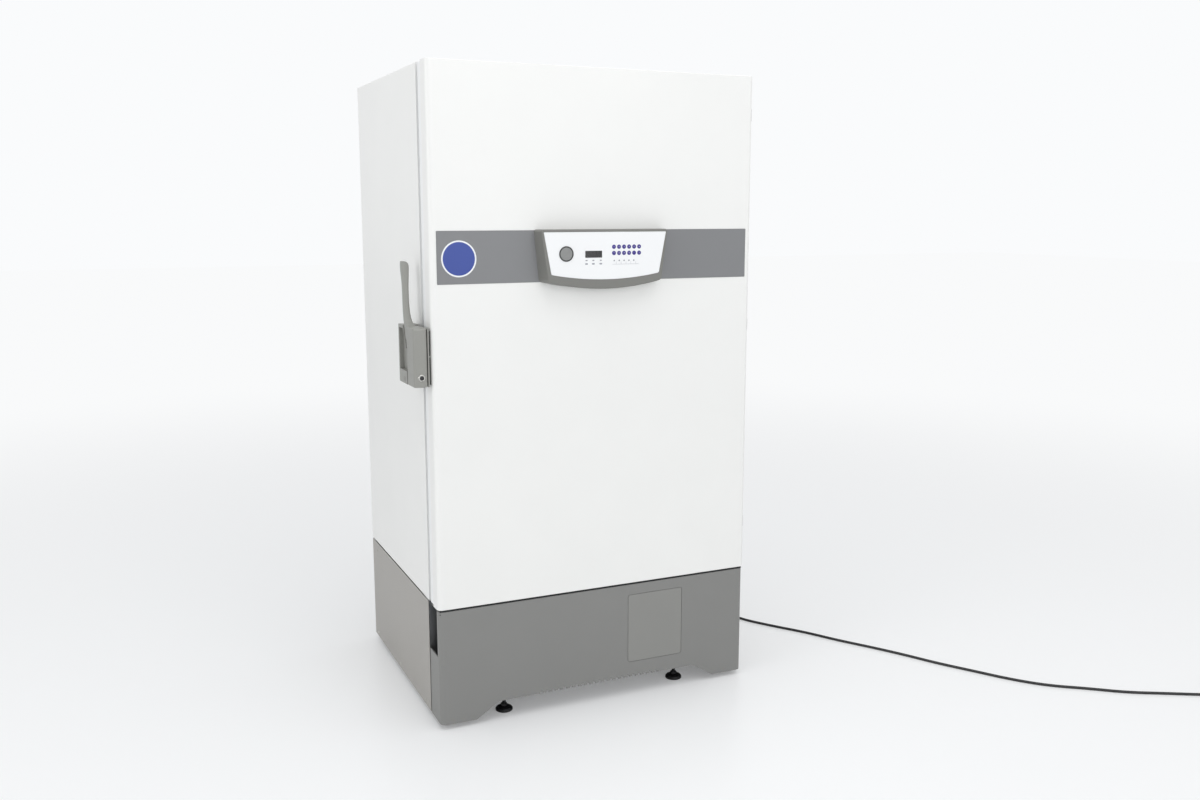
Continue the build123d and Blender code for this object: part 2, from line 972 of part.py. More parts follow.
def handle_lever():
    """Swinging part of the latch: grip block, lever with a paddle end, ear and hook."""
    inner = handle_inner + grip_play
    grip = block(-handle_outer, -inner, grip_front, grip_rear, handle_low, handle_high)
    edges = grip.edges()
    front_left = edges.filter_by(Axis.Z).group_by(Axis.Y)[0].sort_by(Axis.X)[0]
    front_top = edges.filter_by(Axis.X).group_by(Axis.Y)[0].sort_by(Axis.Z)[-1]
    grip = fillet([front_left, front_top], grip_round)
    wedge = make_face(
        Polyline(
            (grip_rear - wedge_lap, handle_high - wedge_drop),
            (grip_rear, handle_high - wedge_drop),
            (lever_rear - flare_lean, handle_high - lever_sink),
            (lever_rear - flare_lean, handle_high),
            (grip_rear - wedge_lap, handle_high),
            close=True,
        )
    )
    grip += extrude(sideways(-handle_outer) * wedge, amount=lever_width + flare_width)
    hook_low = keeper_z + keeper_radius + hook_gap
    root = grip_rear - boss_radius
    ear = make_face(
        Polyline(
            (root, pivot_z - boss_radius),
            (pivot_y, pivot_z - boss_radius),
            (pivot_y + boss_radius + ear_play, hook_low),
            (hook_end - hook_finger, hook_low),
            (hook_end - hook_finger, hook_low - hook_gap / 2),
            (hook_end, hook_low - hook_gap / 2),
            (hook_end, hook_low + hook_bar),
            (root, hook_low + 2 * hook_bar),
            close=True,
        )
    )
    body = grip + lever_shape() + extrude(sideways(-ear_outer) * ear, amount=ear_width)
    body -= rod(
        (-ear_outer - 1, pivot_y, pivot_z), (-ear_inner + 1, pivot_y, pivot_z), pivot_radius + running_gap
    )
    return body - rod(
        (-lock_x, grip_front - 1, lock_z),
        (-lock_x, grip_front + lock_depth + 1, lock_z),
        lock_radius + running_gap,
    )


def lock_cylinder():
    """Round key lock in the grip's front face."""
    front = grip_front - lock_proud
    barrel = rod((-lock_x, front, lock_z), (-lock_x, grip_front + lock_depth, lock_z), lock_radius)
    barrel = chamfer(barrel.faces().sort_by(Axis.Y)[0].edges(), 1)
    return barrel - block(
        -lock_x - keyway_width / 2,
        -lock_x + keyway_width / 2,
        front - 1,
        front + 4,
        lock_z - keyway_length / 2,
        lock_z + keyway_length / 2,
    )


def latch_keeper():
    """Plate on the cabinet's left side, and the pin welded to it that the hook reaches over."""
    low = keeper_z - keeper_below
    plate = block(
        -half_width - keeper_plate,
        -half_width,
        keeper_y - keeper_width / 2,
        keeper_y + keeper_width / 2,
        low,
        low + keeper_height,
    )
    start = (-half_width - keeper_plate, keeper_y, keeper_z)
    return [plate, rod(start, (-ear_outer - 1, keeper_y, keeper_z), keeper_radius)]


def cabinet_hinges():
    """Fixed halves of the three door hinges, each with its pin."""
    made = []
    for z in hinge_levels:
        top = z + knuckle_height
        knuckle = rod((hinge_x, hinge_y, z), (hinge_x, hinge_y, top), knuckle_radius)
        arm = block(hinge_x - hinge_arm, hinge_x, hinge_y, cabinet_leaf_front + 4, z, top)
        leaf = block(half_width, half_width + hinge_leaf, cabinet_leaf_front, cabinet_leaf_rear, z, top)
        leaf += block(
            half_width, hinge_x, cabinet_leaf_front - 6, cabinet_leaf_front + 4, z, top
        )
        pin = rod((hinge_x, hinge_y, top), (hinge_x, hinge_y, top + knuckle_height - 4), hinge_pin_radius)
        made.append(knuckle + arm + leaf + pin)
    return made


def door_hinge_leaves():
    """Moving halves of the three hinges, on the door's right edge."""
    made = []
    for z in hinge_levels:
        low = z + knuckle_height + rest_gap
        top = low + knuckle_height
        knuckle = rod((hinge_x, hinge_y, low), (hinge_x, hinge_y, top), knuckle_radius)
        arm = block(half_width, hinge_x, pan_depth - 16, hinge_y, low, top)
        leaf = block(half_width, half_width + hinge_leaf, door_edge_radius + 2, pan_depth - 1, low, top)
        body = knuckle + arm + leaf
        bore_end = (hinge_x, hinge_y, top - 2)
        made.append(body - rod((hinge_x, hinge_y, low - 1), bore_end, hinge_pin_radius + running_gap))
    return made


def tube(x0, x1, y0, y1, z0, z1, along):
    """Square steel tube between two corners, open at both ends along one axis."""
    low = [x0, y0, z0]
    high = [x1, y1, z1]
    for axis in range(3):
        step = -1 if axis == along else tube_wall
        low[axis] += step
        high[axis] -= step
    outer = block(x0, x1, y0, y1, z0, z1)
    return outer - block(low[0], high[0], low[1], high[1], low[2], high[2])


def base_frame():
    """Welded frame of square tubes: rails, beams, corner posts, sills and foot nuts."""
    rail_inner = post_inner - frame_tube
    rail = tube(rail_inner, post_inner, front_beam, frame_rear, frame_low, frame_high, 1)
    made = mirrored_pair(rail)
    for front in (post_front, frame_rear - frame_tube):
        post = tube(post_inner, post_outer, front, front + frame_tube, post_low, cabinet_bottom, 2)
        made += mirrored_pair(post)
    sill = block(
        post_outer - sill_depth,
        post_outer,
        post_front + frame_tube,
        frame_rear - frame_tube,
        post_low,
        post_low + sill_height,
    )
    made += mirrored_pair(sill)
    rear_beam = frame_rear - caster_beam_depth - frame_tube
    for front, deep in ((caster_beam, caster_beam_depth), (rear_beam, caster_beam_depth)):
        made.append(tube(-rail_inner, rail_inner, front, front + deep, frame_low, frame_high, 0))
    beam = tube(-rail_inner, rail_inner, front_beam, front_beam + front_beam_depth, frame_low, frame_high, 0)
    for side in (-1, 1):
        x = side * foot_x
        beam += rod((x, foot_y, frame_low - foot_nut_height), (x, foot_y, frame_low), foot_nut_radius)
        beam -= rod(
            (x, foot_y, frame_low - foot_nut_height - 1),
            (x, foot_y, frame_high + 1),
            stem_radius + running_gap,
        )
    made.append(beam)
    return made


def base_deck():
    """Steel deck that carries the cooling plant."""
    return block(-post_inner, post_inner, post_front, frame_rear, frame_high, deck_top)


def base_side_panels():
    """Painted side sheets of the base, with a flange turned in along the bottom."""
    top = cabinet_bottom - side_panel_gap
    inner = half_width - side_panel_sheet
    panel = block(inner, half_width, side_panel_front, cabinet_rear, side_panel_low, top)
    flange = block(
        inner - side_flange,
        inner,
        post_front + 2,
        cabinet_rear - 4,
        side_panel_low,
        side_panel_low + side_panel_sheet,
    )
    return mirrored_pair(panel + flange)


def base_screws():
    """Flat screw heads on the side sheets."""
    made = []
    for y, z in screw_places:
        made += mirrored_pair(rod((half_width, y, z), (half_width + screw_head, y, z), screw_radius))
    return made


def cover_plan(inset):
    """Plan outline of the cover: a front and two returns, with rounded front corners."""
    half = cover_half - inset
    plan = Pos(0, (cover_rear + inset) / 2) * Rectangle(2 * half, cover_rear - inset)
    return fillet(plan.vertices().group_by(Axis.Y)[0], cover_corner - inset)


def cover_arch():
    """Outline cut out of the cover's lower edge, between its two feet."""
    low = cover_low - 5
    points = (
        (-arch_foot - 5, low),
        (-arch_foot + 4, cover_low + 2),
        (-arch_half, arch_high),
        (arch_half, arch_high),
        (arch_foot - 4, cover_low + 2),
        (arch_foot + 5, low),
    )
    face = make_face(Polyline(*points, close=True))
    feet, crown = face.vertices().group_by(Axis.Y)[1:]
    face = fillet(crown, arch_round)
    feet = [v for v in face.vertices() if abs(v.Y - feet[0].Y) < 0.01]
    return fillet(feet, arch_round / 2)


def recorder_outline(play):
    """Outline of the blanking plate on the cover's right."""
    wide = blank_right - blank_left - 2 * play
    tall = blank_high - blank_low - 2 * play
    middle = Pos((blank_left + blank_right) / 2, (blank_low + blank_high) / 2)
    return middle * RectangleRounded(wide, tall, blank_corner)


def front_cover():
    """Moulded cover of the base's front, hinged on its right return."""
    tall = cover_top - cover_low
    outer = extrude(Plane.XY.offset(cover_low) * cover_plan(0), amount=tall)
    inner = extrude(Plane.XY.offset(cover_low - 1) * cover_plan(cover_wall), amount=tall + 2)
    inner += block(-cover_half + cover_wall, cover_half - cover_wall, cover_rear - 9, cover_rear + 1, cover_low - 1, cover_top + 1)
    cover = outer - inner
    lip = extrude(Plane.XY.offset(cover_top - cover_wall) * cover_plan(0), amount=cover_wall)
    lip -= extrude(Plane.XY.offset(cover_top - cover_wall - 1) * cover_plan(cover_lip), amount=cover_wall + 2)
    cover += lip - block(-cover_half, cover_half, cover_rear - cover_lip, cover_rear + 1, cover_low, cover_top + 1)
    cover -= between_depths(cover_arch(), -1, cover_wall + cover_corner)
    slots = int(2 * intake_half / intake_pitch) + 1
    for number in range(slots):
        x = (number - (slots - 1) / 2) * intake_pitch
        cover -= block(x - intake_slot / 2, x + intake_slot / 2, -1, cover_wall + 1, arch_high - 1, arch_high + intake_rise)
    cover -= block(-cover_half - 1, -cover_half + cover_wall + 1, finger_front, cover_rear + 1, finger_low, cover_top + 1)
    cover -= between_depths(recorder_outline(0), -1, blank_depth)
    wall_inner = cover_half - cover_wall
    for z in cover_hinge_levels:
        ear = block(
            cover_hinge_x - cover_ear_width / 2,
            wall_inner,
            cover_hinge_y - cover_ear_width / 2,
            cover_rear,
            z,
            z + cover_ear,
        )
        axis_low = (cover_hinge_x, cover_hinge_y, z - 1)
        axis_high = (cover_hinge_x, cover_hinge_y, z + cover_ear + 1)
        cover += ear
        cover -= rod(axis_low, axis_high, cover_pin_radius + running_gap)
        cover -= block(
            wall_inner - 1,
            cover_half + 1,
            cover_hinge_y - 6,
            cover_rear + 1,
            z - rest_gap - bracket_thickness - 1,
            z,
        )
    return cover


def recorder_blank():
    """Blanking plate that fills the place of a chart recorder."""
    return between_depths(recorder_outline(blank_play), 0, blank_depth)


def cover_hinge_brackets():
    """Brackets on the right front post, with the cover's hinge pins."""
    made = []
    for z in cover_hinge_levels:
        low = z - rest_gap - bracket_thickness
        plate = block(
            cover_hinge_x - 6, cover_hinge_x + 4, cover_hinge_y - 5, post_front, low, low + bracket_thickness
        )
        pin = rod(
            (cover_hinge_x, cover_hinge_y, low),
            (cover_hinge_x, cover_hinge_y, z + cover_ear - 1),
            cover_pin_radius,
        )
        made.append(plate + pin)
    return made


def caster_mounts():
    """Front caster plates with their kingpins, and the rear casters' fixed forks."""
    y = caster_front_y
    plate = block(
        caster_x - caster_plate_half,
        caster_x + caster_plate_half,
        y - caster_plate_depth / 2,
        y + caster_plate_depth / 2,
        plate_bottom,
        frame_low,
    )
    kingpin_end = plate_bottom - rest_gap - fork_crown
    plate += rod((caster_x, y, plate_bottom), (caster_x, y, kingpin_end), kingpin_radius)
    made = mirrored_pair(plate)
    rear = block(
        caster_x - caster_plate_half,
        caster_x + caster_plate_half,
        caster_rear_y - caster_plate_depth / 2,
        caster_rear_y + caster_plate_depth / 2,
        plate_bottom,
        frame_low,
    )
    rear += fork_cheeks(caster_rear_y, caster_rear_y, plate_bottom)
    return made + mirrored_pair(rear)


def fork_cheeks(crown_y, axle_y, top):
    """Two cheeks of a caster fork with the axle between them."""
    inner = wheel_hub_width / 2 + fork_play
    outer = inner + fork_wall
    outline = make_face(
        Polyline(
            (crown_y - crown_radius + fork_wall, top),
            (crown_y + crown_radius - fork_wall, top),
            (axle_y + fork_end, wheel_radius),
            (axle_y + fork_end / 2, wheel_radius - fork_end),
            (axle_y - fork_end / 2, wheel_radius - fork_end),
            (axle_y - fork_end, wheel_radius),
            close=True,
        )
    )
    right = extrude(sideways(caster_x + inner) * outline, amount=fork_wall)
    left = extrude(sideways(caster_x - outer) * outline, amount=fork_wall)
    axle = rod((caster_x - outer, axle_y, wheel_radius), (caster_x + outer, axle_y, wheel_radius), axle_radius)
    return right + left + axle


def caster_fork(side):
    """Swivelling fork of a front caster."""
    top = plate_bottom - rest_gap
    low = top - fork_crown
    y = caster_front_y
    crown = rod((caster_x, y, low), (caster_x, y, top), crown_radius)
    fork = crown + fork_cheeks(y, wheel_trail_y, low)
    fork -= rod((caster_x, y, low - 1), (caster_x, y, top + 1), kingpin_radius + running_gap)
    return fork if side > 0 else mirror(fork, Plane.YZ)


def caster_wheel(side, y):
    """Wheel with a hub that stands out on both sides, bored for its axle."""
    middle = side * caster_x
    wheel = None
    for half, radius in ((wheel_width / 2, wheel_radius), (wheel_hub_width / 2, wheel_hub_radius)):
        disc = rod((middle - half, y, wheel_radius), (middle + half, y, wheel_radius), radius)
        wheel = disc if wheel is None else wheel + disc
    reach = wheel_hub_width
    return wheel - rod(
        (middle - reach, y, wheel_radius), (middle + reach, y, wheel_radius), axle_radius + running_gap
    )


def levelling_foot(side):
    """Screw foot: black pad and bright stem."""
    x = side * foot_x
    pad = rod((x, foot_y, 0), (x, foot_y, foot_height), foot_radius)
    return pad + rod((x, foot_y, foot_height), (x, foot_y, stem_top), stem_radius)


def air_filter():
    """Framed filter in front of the condenser."""
    rear = filter_front + filter_depth
    frame = block(-filter_half, filter_half, filter_front, rear, deck_top, filter_high)
    pitch = 2 * filter_half / filter_bars
    border = 10.0
    for number in range(filter_bars):
        left = -filter_half + number * pitch + border / 2
        frame -= block(
            left, left + pitch - border, filter_front - 1, filter_front + 4, deck_top + border, filter_high - border
        )
    return frame


def condenser():
    """Finned coil: upright fins on flat horizontal tubes between two end plates."""
    tall = coil_high - deck_top
    pitch = 2 * coil_half / (fin_count - 1)
    rear = coil_front + coil_depth
    core = None
    for number in range(coil_tubes):
        z = deck_top + (number + 0.5) * tall / coil_tubes
        middle = coil_front + coil_depth / 2
        flat = block(
            -coil_half,
            coil_half,
            middle - coil_tube_depth / 2,
            middle + coil_tube_depth / 2,
            z - coil_tube_height / 2,
            z + coil_tube_height / 2,
        )
        core = flat if core is None else core + flat
    for number in range(fin_count):
        x = -coil_half + number * pitch
        core += block(x - fin_thickness / 2, x + fin_thickness / 2, coil_front, rear, deck_top, coil_high)
    return core


def fan_shroud():
    """Sheet shroud behind the coil, with the fan's ring, and the motor on its arms."""
    rear = shroud_front + shroud_depth
    box = block(-coil_half, coil_half, coil_front + coil_depth, rear, deck_top, coil_high)
    box -= block(
        -coil_half + shroud_wall,
        coil_half - shroud_wall,
        coil_front + coil_depth - 1,
        rear - shroud_wall,
        deck_top + shroud_wall,
        coil_high - shroud_wall,
    )
    return box - rod((fan_x, rear - shroud_wall - 1, fan_z), (fan_x, rear + 1, fan_z), fan_opening)


def fan_motor():
    """Fan motor with its shaft, on two arms across the shroud."""
    rear = shroud_front + shroud_depth
    front = rear + fan_depth + motor_arm
    motor = rod((fan_x, front, fan_z), (fan_x, front + motor_length, fan_z), motor_radius)
    shaft_start = rear - shroud_wall
    motor += rod((fan_x, shaft_start, fan_z), (fan_x, front, fan_z), motor_shaft)
    reach = fan_opening + 12
    for side in (-1, 1):
        arm_x = fan_x + side * reach
        motor += block(fan_x, arm_x, front, front + 3, fan_z - 9, fan_z + 9)
        motor += block(arm_x - side * 3, arm_x, rear, front + 3, fan_z - 9, fan_z + 9)
    return motor


def fan_rotor():
    """Axial fan: hub bored for the motor shaft, and pitched blades."""
    rear = shroud_front + shroud_depth
    start, end = rear, rear + fan_depth
    rotor = rod((fan_x, start, fan_z), (fan_x, end, fan_z), fan_hub)
    middle = (start + end) / 2
    length = fan_radius - fan_hub + 4
    for number in range(fan_blades):
        blade = Box(fan_blade_width, fan_blade_sheet, length)
        blade = Pos(0, 0, fan_hub - 4 + length / 2) * Rot(0, 0, blade_pitch) * blade
        rotor += Pos(fan_x, middle, fan_z) * Rot(0, 360 / fan_blades * number, 0) * blade
    bore = rod((fan_x, start - 1, fan_z), (fan_x, end + 1, fan_z), motor_shaft + running_gap)
    limit = rod((fan_x, start, fan_z), (fan_x, end, fan_z), fan_radius)
    return (rotor & limit) - bore


def compressor(side):
    """Welded hermetic compressor: drum with a shouldered top on a foot plate with four pads."""
    tall = compressor_height - compressor_foot
    drum = Pos(0, 0, compressor_foot + tall / 2) * Cylinder(compressor_radius, tall)
    drum = chamfer(drum.faces().sort_by(Axis.Z)[-1].edges(), compressor_shoulder)
    wide, deep = compressor_plate_half, compressor_plate_depth / 2
    pad_top = compressor_foot - compressor_plate
    drum += block(-wide, wide, -deep, deep, pad_top, compressor_foot)
    for x in (-wide, wide - compressor_pad):
        for y in (-deep, deep - compressor_pad):
            drum += block(x, x + compressor_pad, y, y + compressor_pad, 0, pad_top)
    return Pos(side * compressor_x, compressor_y, deck_top) * drum


def refrigerant_pipes():
    """Copper pipes between the coil, the compressors and the cabinet."""
    tube_z = deck_top + (coil_high - deck_top) / 2
    middle = coil_front + coil_depth / 2
    wall = compressor_y - compressor_radius + pipe_sink
    crown = deck_top + compressor_height
    discharge = (
        (coil_half - pipe_sink, middle, tube_z),
        (coil_half + pipe_side, middle, tube_z),
        (coil_half + pipe_side, wall - pipe_run, tube_z),
        (compressor_x, wall - pipe_run, tube_z),
        (compressor_x, wall, tube_z),
    )
    riser_z = (crown + cabinet_bottom) / 2
    riser = (
        (compressor_x, compressor_y, crown - pipe_sink),
        (compressor_x, compressor_y, riser_z),
        (riser_x, compressor_y + pipe_side, riser_z),
        (riser_x, compressor_y + pipe_side, cabinet_bottom),
    )
    made = []
    for points in (discharge, riser):
        path = Polyline(*points)
        bore = Plane(origin=path @ 0, z_dir=path % 0) * Circle(pipe_radius)
        made += mirrored_pair(sweep(bore, path=path, transition=Transition.RIGHT))
    return made


def electronics_box():
    """Sheet box of the control electronics, with a lid."""
    body = block(box_left, box_right, box_front, box_rear, deck_top, box_high - box_wall)
    body -= block(
        box_left + box_wall,
        box_right - box_wall,
        box_front + box_wall,
        box_rear - box_wall,
        deck_top + box_wall,
        box_high,
    )
    lid = block(box_left, box_right, box_front, box_rear, box_high - box_wall, box_high)
    return body + lid


def rear_grille():
    """Rear sheet of the base, with rows of air slots and the switch's opening."""
    front = cabinet_rear - grille_sheet
    top = cabinet_bottom - side_panel_gap
    half = half_width - side_panel_sheet
    plate = block(-half, half, front, cabinet_rear, grille_low, top)
    for low in grille_rows:
        for number in range(grille_slots):
            x = grille_middle + (number - (grille_slots - 1) / 2) * grille_pitch
            plate -= block(
                x - grille_slot_width / 2,
                x + grille_slot_width / 2,
                front - 1,
                cabinet_rear + 1,
                low,
                low + grille_slot_height,
            )
    plate -= switch_space(front - 1, cabinet_rear + 1, 0)
    return plate - rod((gland_x, front - 1, gland_z), (gland_x, cabinet_rear + 1, gland_z), gland_hole_radius)


def switch_space(y0, y1, grow):
    """Rectangular space of the power switch between two depths."""
    wide = switch_half_width + grow
    tall = switch_half_height + grow
    return block(switch_x - wide, switch_x + wide, y0, y1, switch_z - tall, switch_z + tall)


def switch_housing():
    """Frame of the power switch, with the rocker's pin."""
    front = cabinet_rear - switch_depth
    body = switch_space(front, cabinet_rear, -switch_play)
    body += switch_space(cabinet_rear, cabinet_rear + switch_rim_depth, switch_rim)
    body -= switch_space(front + switch_wall, cabinet_rear + switch_rim_depth + 1, -switch_wall)
    wide = switch_half_width - switch_wall / 2
    y = cabinet_rear - rocker_sink
    return body + rod((switch_x - wide, y, switch_z), (switch_x + wide, y, switch_z), rocker_pin)


def power_switch():
    """Rocker of the power switch."""
    wide = switch_half_width - switch_wall - rocker_play
    tall = switch_half_height - switch_wall - rocker_end_play
    hub_y = cabinet_rear - rocker_sink
    heel, root = rocker_heel, rocker_root
    outline = make_face(
        Polyline(
            (hub_y - heel, switch_z - root),
            (hub_y + root, switch_z - tall),
            (hub_y + 1.5 * heel, switch_z - tall),
            (hub_y + heel + 1, switch_z),
            (hub_y + heel + 0.5, switch_z + tall),
            (hub_y + root, switch_z + tall),
            (hub_y - heel, switch_z + root),
            close=True,
        )
    )
    rocker = extrude(sideways(switch_x - wide) * outline, amount=2 * wide)
    return rocker - rod(
        (switch_x - wide - 1, hub_y, switch_z), (switch_x + wide + 1, hub_y, switch_z), rocker_pin + running_gap
    )


def cord_gland():
    """Strain relief of the mains lead on the rear sheet: a six-sided nut and a tapered sleeve."""
    place = Pos(gland_x, gland_z)
    start = cabinet_rear + gland_flange
    nut = extrude(facing(start) * place * RegularPolygon(gland_radius, 6), amount=gland_flange)
    root = facing(start) * place * RegularPolygon(gland_neck_radius, 6)
    tip = facing(rear_reach) * place * RegularPolygon(cord_radius + gland_lip, 6)
    return nut + loft([root, tip], ruled=True)


def cord_path(points):
    """Straight runs joined by tangent arcs, each as large as its two runs allow."""
    places = [Vector(*p) for p in points]
    radii = []
    for before, corner, after in zip(places, places[1:], places[2:]):
        arriving, leaving = corner - before, after - corner
        turn = math.radians(arriving.get_angle(leaving))
        shorter = min(arriving.length, leaving.length)
        radii.append(0.45 * shorter / math.tan(turn / 2))
    print("cord arcs, smallest radius", round(min(radii), 1), [round(r) for r in radii])
    return FilletPolyline(*points, radius=radii)


def cord_tube(points):
    """Round cord along a route."""
    path = cord_path(points)
    section = Plane(origin=path @ 0, z_dir=path % 0) * Circle(cord_radius)
    cord = sweep(section, path=path)
    expected = math.pi * cord_radius**2 * path.length
    print("cord length", round(path.length, 1), "volume share", round(cord.volume / expected, 5))
    return cord


def power_cord():
    """Mains lead from the gland to the coil, and from the coil to the plug."""
    return [cord_tube(cord_route), cord_tube(tail_route)]


def cord_coil():
    """Outer shape of the wound part of the lead."""
    outer = coil_turn_radius + cord_radius
    inner = coil_turn_radius - cord_radius
    tall = coil_layers * 2 * cord_radius
    ring = Cylinder(outer, tall) - Cylinder(inner, tall + 2)
    return Pos(coil_centre[0], coil_centre[1], tall / 2) * ring


def power_plug():
    """Moulded plug with two flat blades and an earth pin."""
    start, end = Vector(*tail_route[-2]), Vector(*tail_route[-1])
    turn = math.degrees(math.atan2(end.Y - start.Y, end.X - start.X))
    neck = Plane.YZ * Rectangle(plug_neck, plug_neck)
    full = Plane.YZ.offset(plug_grip) * Rectangle(plug_width, plug_tall)
    plug = loft([neck, full], ruled=True)
    head = block(plug_grip, plug_length, -plug_width / 2, plug_width / 2, -plug_tall / 2, plug_tall / 2)
    plug += chamfer(head.edges().filter_by(Axis.X), plug_corner)
    reach = plug_length + blade_length
    for side in (-1, 1):
        y = side * blade_spacing / 2
        plug += block(
            plug_length,
            reach,
            y - blade_sheet / 2,
            y + blade_sheet / 2,
            blade_rise - blade_width / 2,
            blade_rise + blade_width / 2,
        )
    plug += rod((plug_length, 0, -earth_drop), (reach + earth_longer, 0, -earth_drop), earth_radius)
    return Pos(end.X, end.Y, plug_tall / 2) * Rot(0, 0, turn) * plug


def save(node, shape, moved=True):
    """Write one sub-part, moved to the middle of the footprint, or with the gland for the lead."""
    solids = []
    for piece in shape if isinstance(shape, list) else [shape]:
        solids += list(piece.solids())
    whole = solids[0] if len(solids) == 1 else Compound(solids)
    shift = (-origin_x, -origin_y) if moved else (lead_shift_x, lead_shift_y)
    whole = Pos(*shift, 0) * whole
    export_step(whole, os.path.join("parts", node + ".step"))


def build():
    """Make every sub-part."""
    os.makedirs("parts", exist_ok=True)
    save("cabinet_shell", cabinet_shell())
    save("cabinet_back", cabinet_back())
    save("cabinet_insulation", cabinet_insulation())
    save("inner_liner", inner_liner())
    save("breaker_frame", breaker_frame())
    save("shelves", shelves())
    save("shelf_ladders", shelf_ladders())
    save("inner_door_hinges", inner_door_hinges())
    save("port_plug", port_plug())
    save("rear_spacers", rear_spacers())
    save("latch_keeper", latch_keeper())
    save("cabinet_hinges", cabinet_hinges())
    for number in range(compartments):
        save(f"inner_door_{number + 1}", inner_door(number))
    save("door_skin", door_skin())
    save("door_liner", door_liner())
    save("door_insulation", door_insulation())
    save("door_gasket", door_gasket())
    save("door_band", door_band())
    save("panel_bezel", panel_bezel())
    save("panel_fascia", panel_fascia())
    save("panel_keys", panel_keys())
    save("display_window", display_window())
    save("alarm_sounder", alarm_sounder())
    save("handle_base", handle_base())
    save("handle_lever", handle_lever())
    save("lock_cylinder", lock_cylinder())
    save("door_hinge_leaves", door_hinge_leaves())
    save("base_frame", base_frame() + cover_hinge_brackets() + [base_deck()])
    save("base_side_panels", base_side_panels())
    save("base_screws", base_screws())
    save("front_cover", front_cover())
    save("recorder_blank", recorder_blank())
    save("caster_mounts", caster_mounts())
    for side, name in ((-1, "left"), (1, "right")):
        save(f"caster_fork_{name}", caster_fork(side))
        save(f"front_wheel_{name}", caster_wheel(side, wheel_trail_y))
        save(f"rear_wheel_{name}", caster_wheel(side, caster_rear_y))
        save(f"levelling_foot_{name}", levelling_foot(side))
    save("air_filter", air_filter())
    save("condenser", condenser())
    save("fan_shroud", fan_shroud())
    save("fan_motor", fan_motor())
    save("fan_rotor", fan_rotor())
    save("compressors", [compressor(-1), compressor(1)])
    save("refrigerant_pipes", refrigerant_pipes())
    save("electronics_box", electronics_box())
    save("rear_grille", rear_grille())
    save("switch_housing", switch_housing())
    save("power_switch", power_switch())
    save("cord_gland", cord_gland())
    save("power_cord", power_cord(), moved=False)
    save("cord_coil", cord_coil(), moved=False)
    save("power_plug", power_plug(), moved=False)


build()
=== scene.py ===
import bpy
import bmesh
import json
import math
from mathutils import Matrix, Vector


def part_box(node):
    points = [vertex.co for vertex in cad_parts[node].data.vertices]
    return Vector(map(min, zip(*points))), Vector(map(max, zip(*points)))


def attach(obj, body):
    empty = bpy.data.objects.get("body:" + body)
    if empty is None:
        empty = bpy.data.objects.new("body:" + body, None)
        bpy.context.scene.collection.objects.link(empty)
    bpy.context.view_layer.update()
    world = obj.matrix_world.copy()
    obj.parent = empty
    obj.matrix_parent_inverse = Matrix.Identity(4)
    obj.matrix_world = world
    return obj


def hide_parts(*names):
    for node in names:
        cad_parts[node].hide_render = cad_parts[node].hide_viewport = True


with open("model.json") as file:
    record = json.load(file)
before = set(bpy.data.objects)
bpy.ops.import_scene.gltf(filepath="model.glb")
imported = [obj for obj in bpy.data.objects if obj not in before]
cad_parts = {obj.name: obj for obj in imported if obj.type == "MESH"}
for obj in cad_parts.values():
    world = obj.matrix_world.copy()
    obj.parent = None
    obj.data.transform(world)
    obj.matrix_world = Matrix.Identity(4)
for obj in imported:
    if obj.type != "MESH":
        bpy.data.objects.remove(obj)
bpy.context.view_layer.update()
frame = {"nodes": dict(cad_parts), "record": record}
nodes = frame["nodes"]
bpy.ops.object.select_all(action="DESELECT")
bpy.context.scene.view_settings.view_transform = "Standard"


# Viewpoint: a standing photographer to the left of the freezer's front,
# looking a little down at it.
def placed(name, data):
    """New object in the scene."""
    thing = bpy.data.objects.new(name, data)
    bpy.context.scene.collection.objects.link(thing)
    return thing


camera_data = bpy.data.cameras.new("viewpoint")
camera_data.lens = 33.63
camera_data.sensor_width = 36.0
viewpoint = placed("viewpoint", camera_data)
viewpoint.location = (-1.3814, -3.4902, 1.5459)
tilt, heading = 0.1667, 0.4248
viewpoint.rotation_euler = (math.pi / 2 - tilt, 0.0, -heading)
bpy.context.scene.camera = viewpoint


# Studio: a glossy white painted floor under large soft boxes, in a white room.
# The floor is one broad sheet, and the room is the world's own white.
def added(tree, kind, **values):
    """New shader node with some of its inputs set."""
    made = tree.nodes.new("ShaderNode" + kind)
    for name, value in values.items():
        made.inputs[name.replace("_", " ")].default_value = value
    return made


def wired(tree, *wires):
    """Join shader nodes by wires, each from a node's output to a node's input."""
    for source, output, target, entry in wires:
        tree.links.new(source.outputs[output], target.inputs[entry])


bpy.ops.mesh.primitive_plane_add(size=60.0, location=(0.0, 0.0, 0.0))
floor = bpy.context.object
floor.name = "studio_floor"
floor_paint = bpy.data.materials.new("floor_paint")
floor_paint.use_nodes = True
tree = floor_paint.node_tree
paint = tree.nodes["Principled BSDF"]
paint.inputs["Base Color"].default_value = (0.93, 0.935, 0.94, 1.0)
paint.inputs["Roughness"].default_value = 0.3
paint.inputs["Specular IOR Level"].default_value = 0.35
own_white = added(tree, "Emission", Color=(0.955, 0.962, 0.968, 1.0), Strength=1.0)
ray = added(tree, "LightPath")
spot = added(tree, "TexCoord")
reach = added(tree, "VectorMath")
reach.operation = "LENGTH"
fade = added(tree, "MapRange", From_Min=0.7, From_Max=7.0, To_Min=0.22, To_Max=0.97)
fade.interpolation_type = "SMOOTHSTEP"
share = added(tree, "Math")
share.operation = "MULTIPLY"
blend = added(tree, "MixShader")
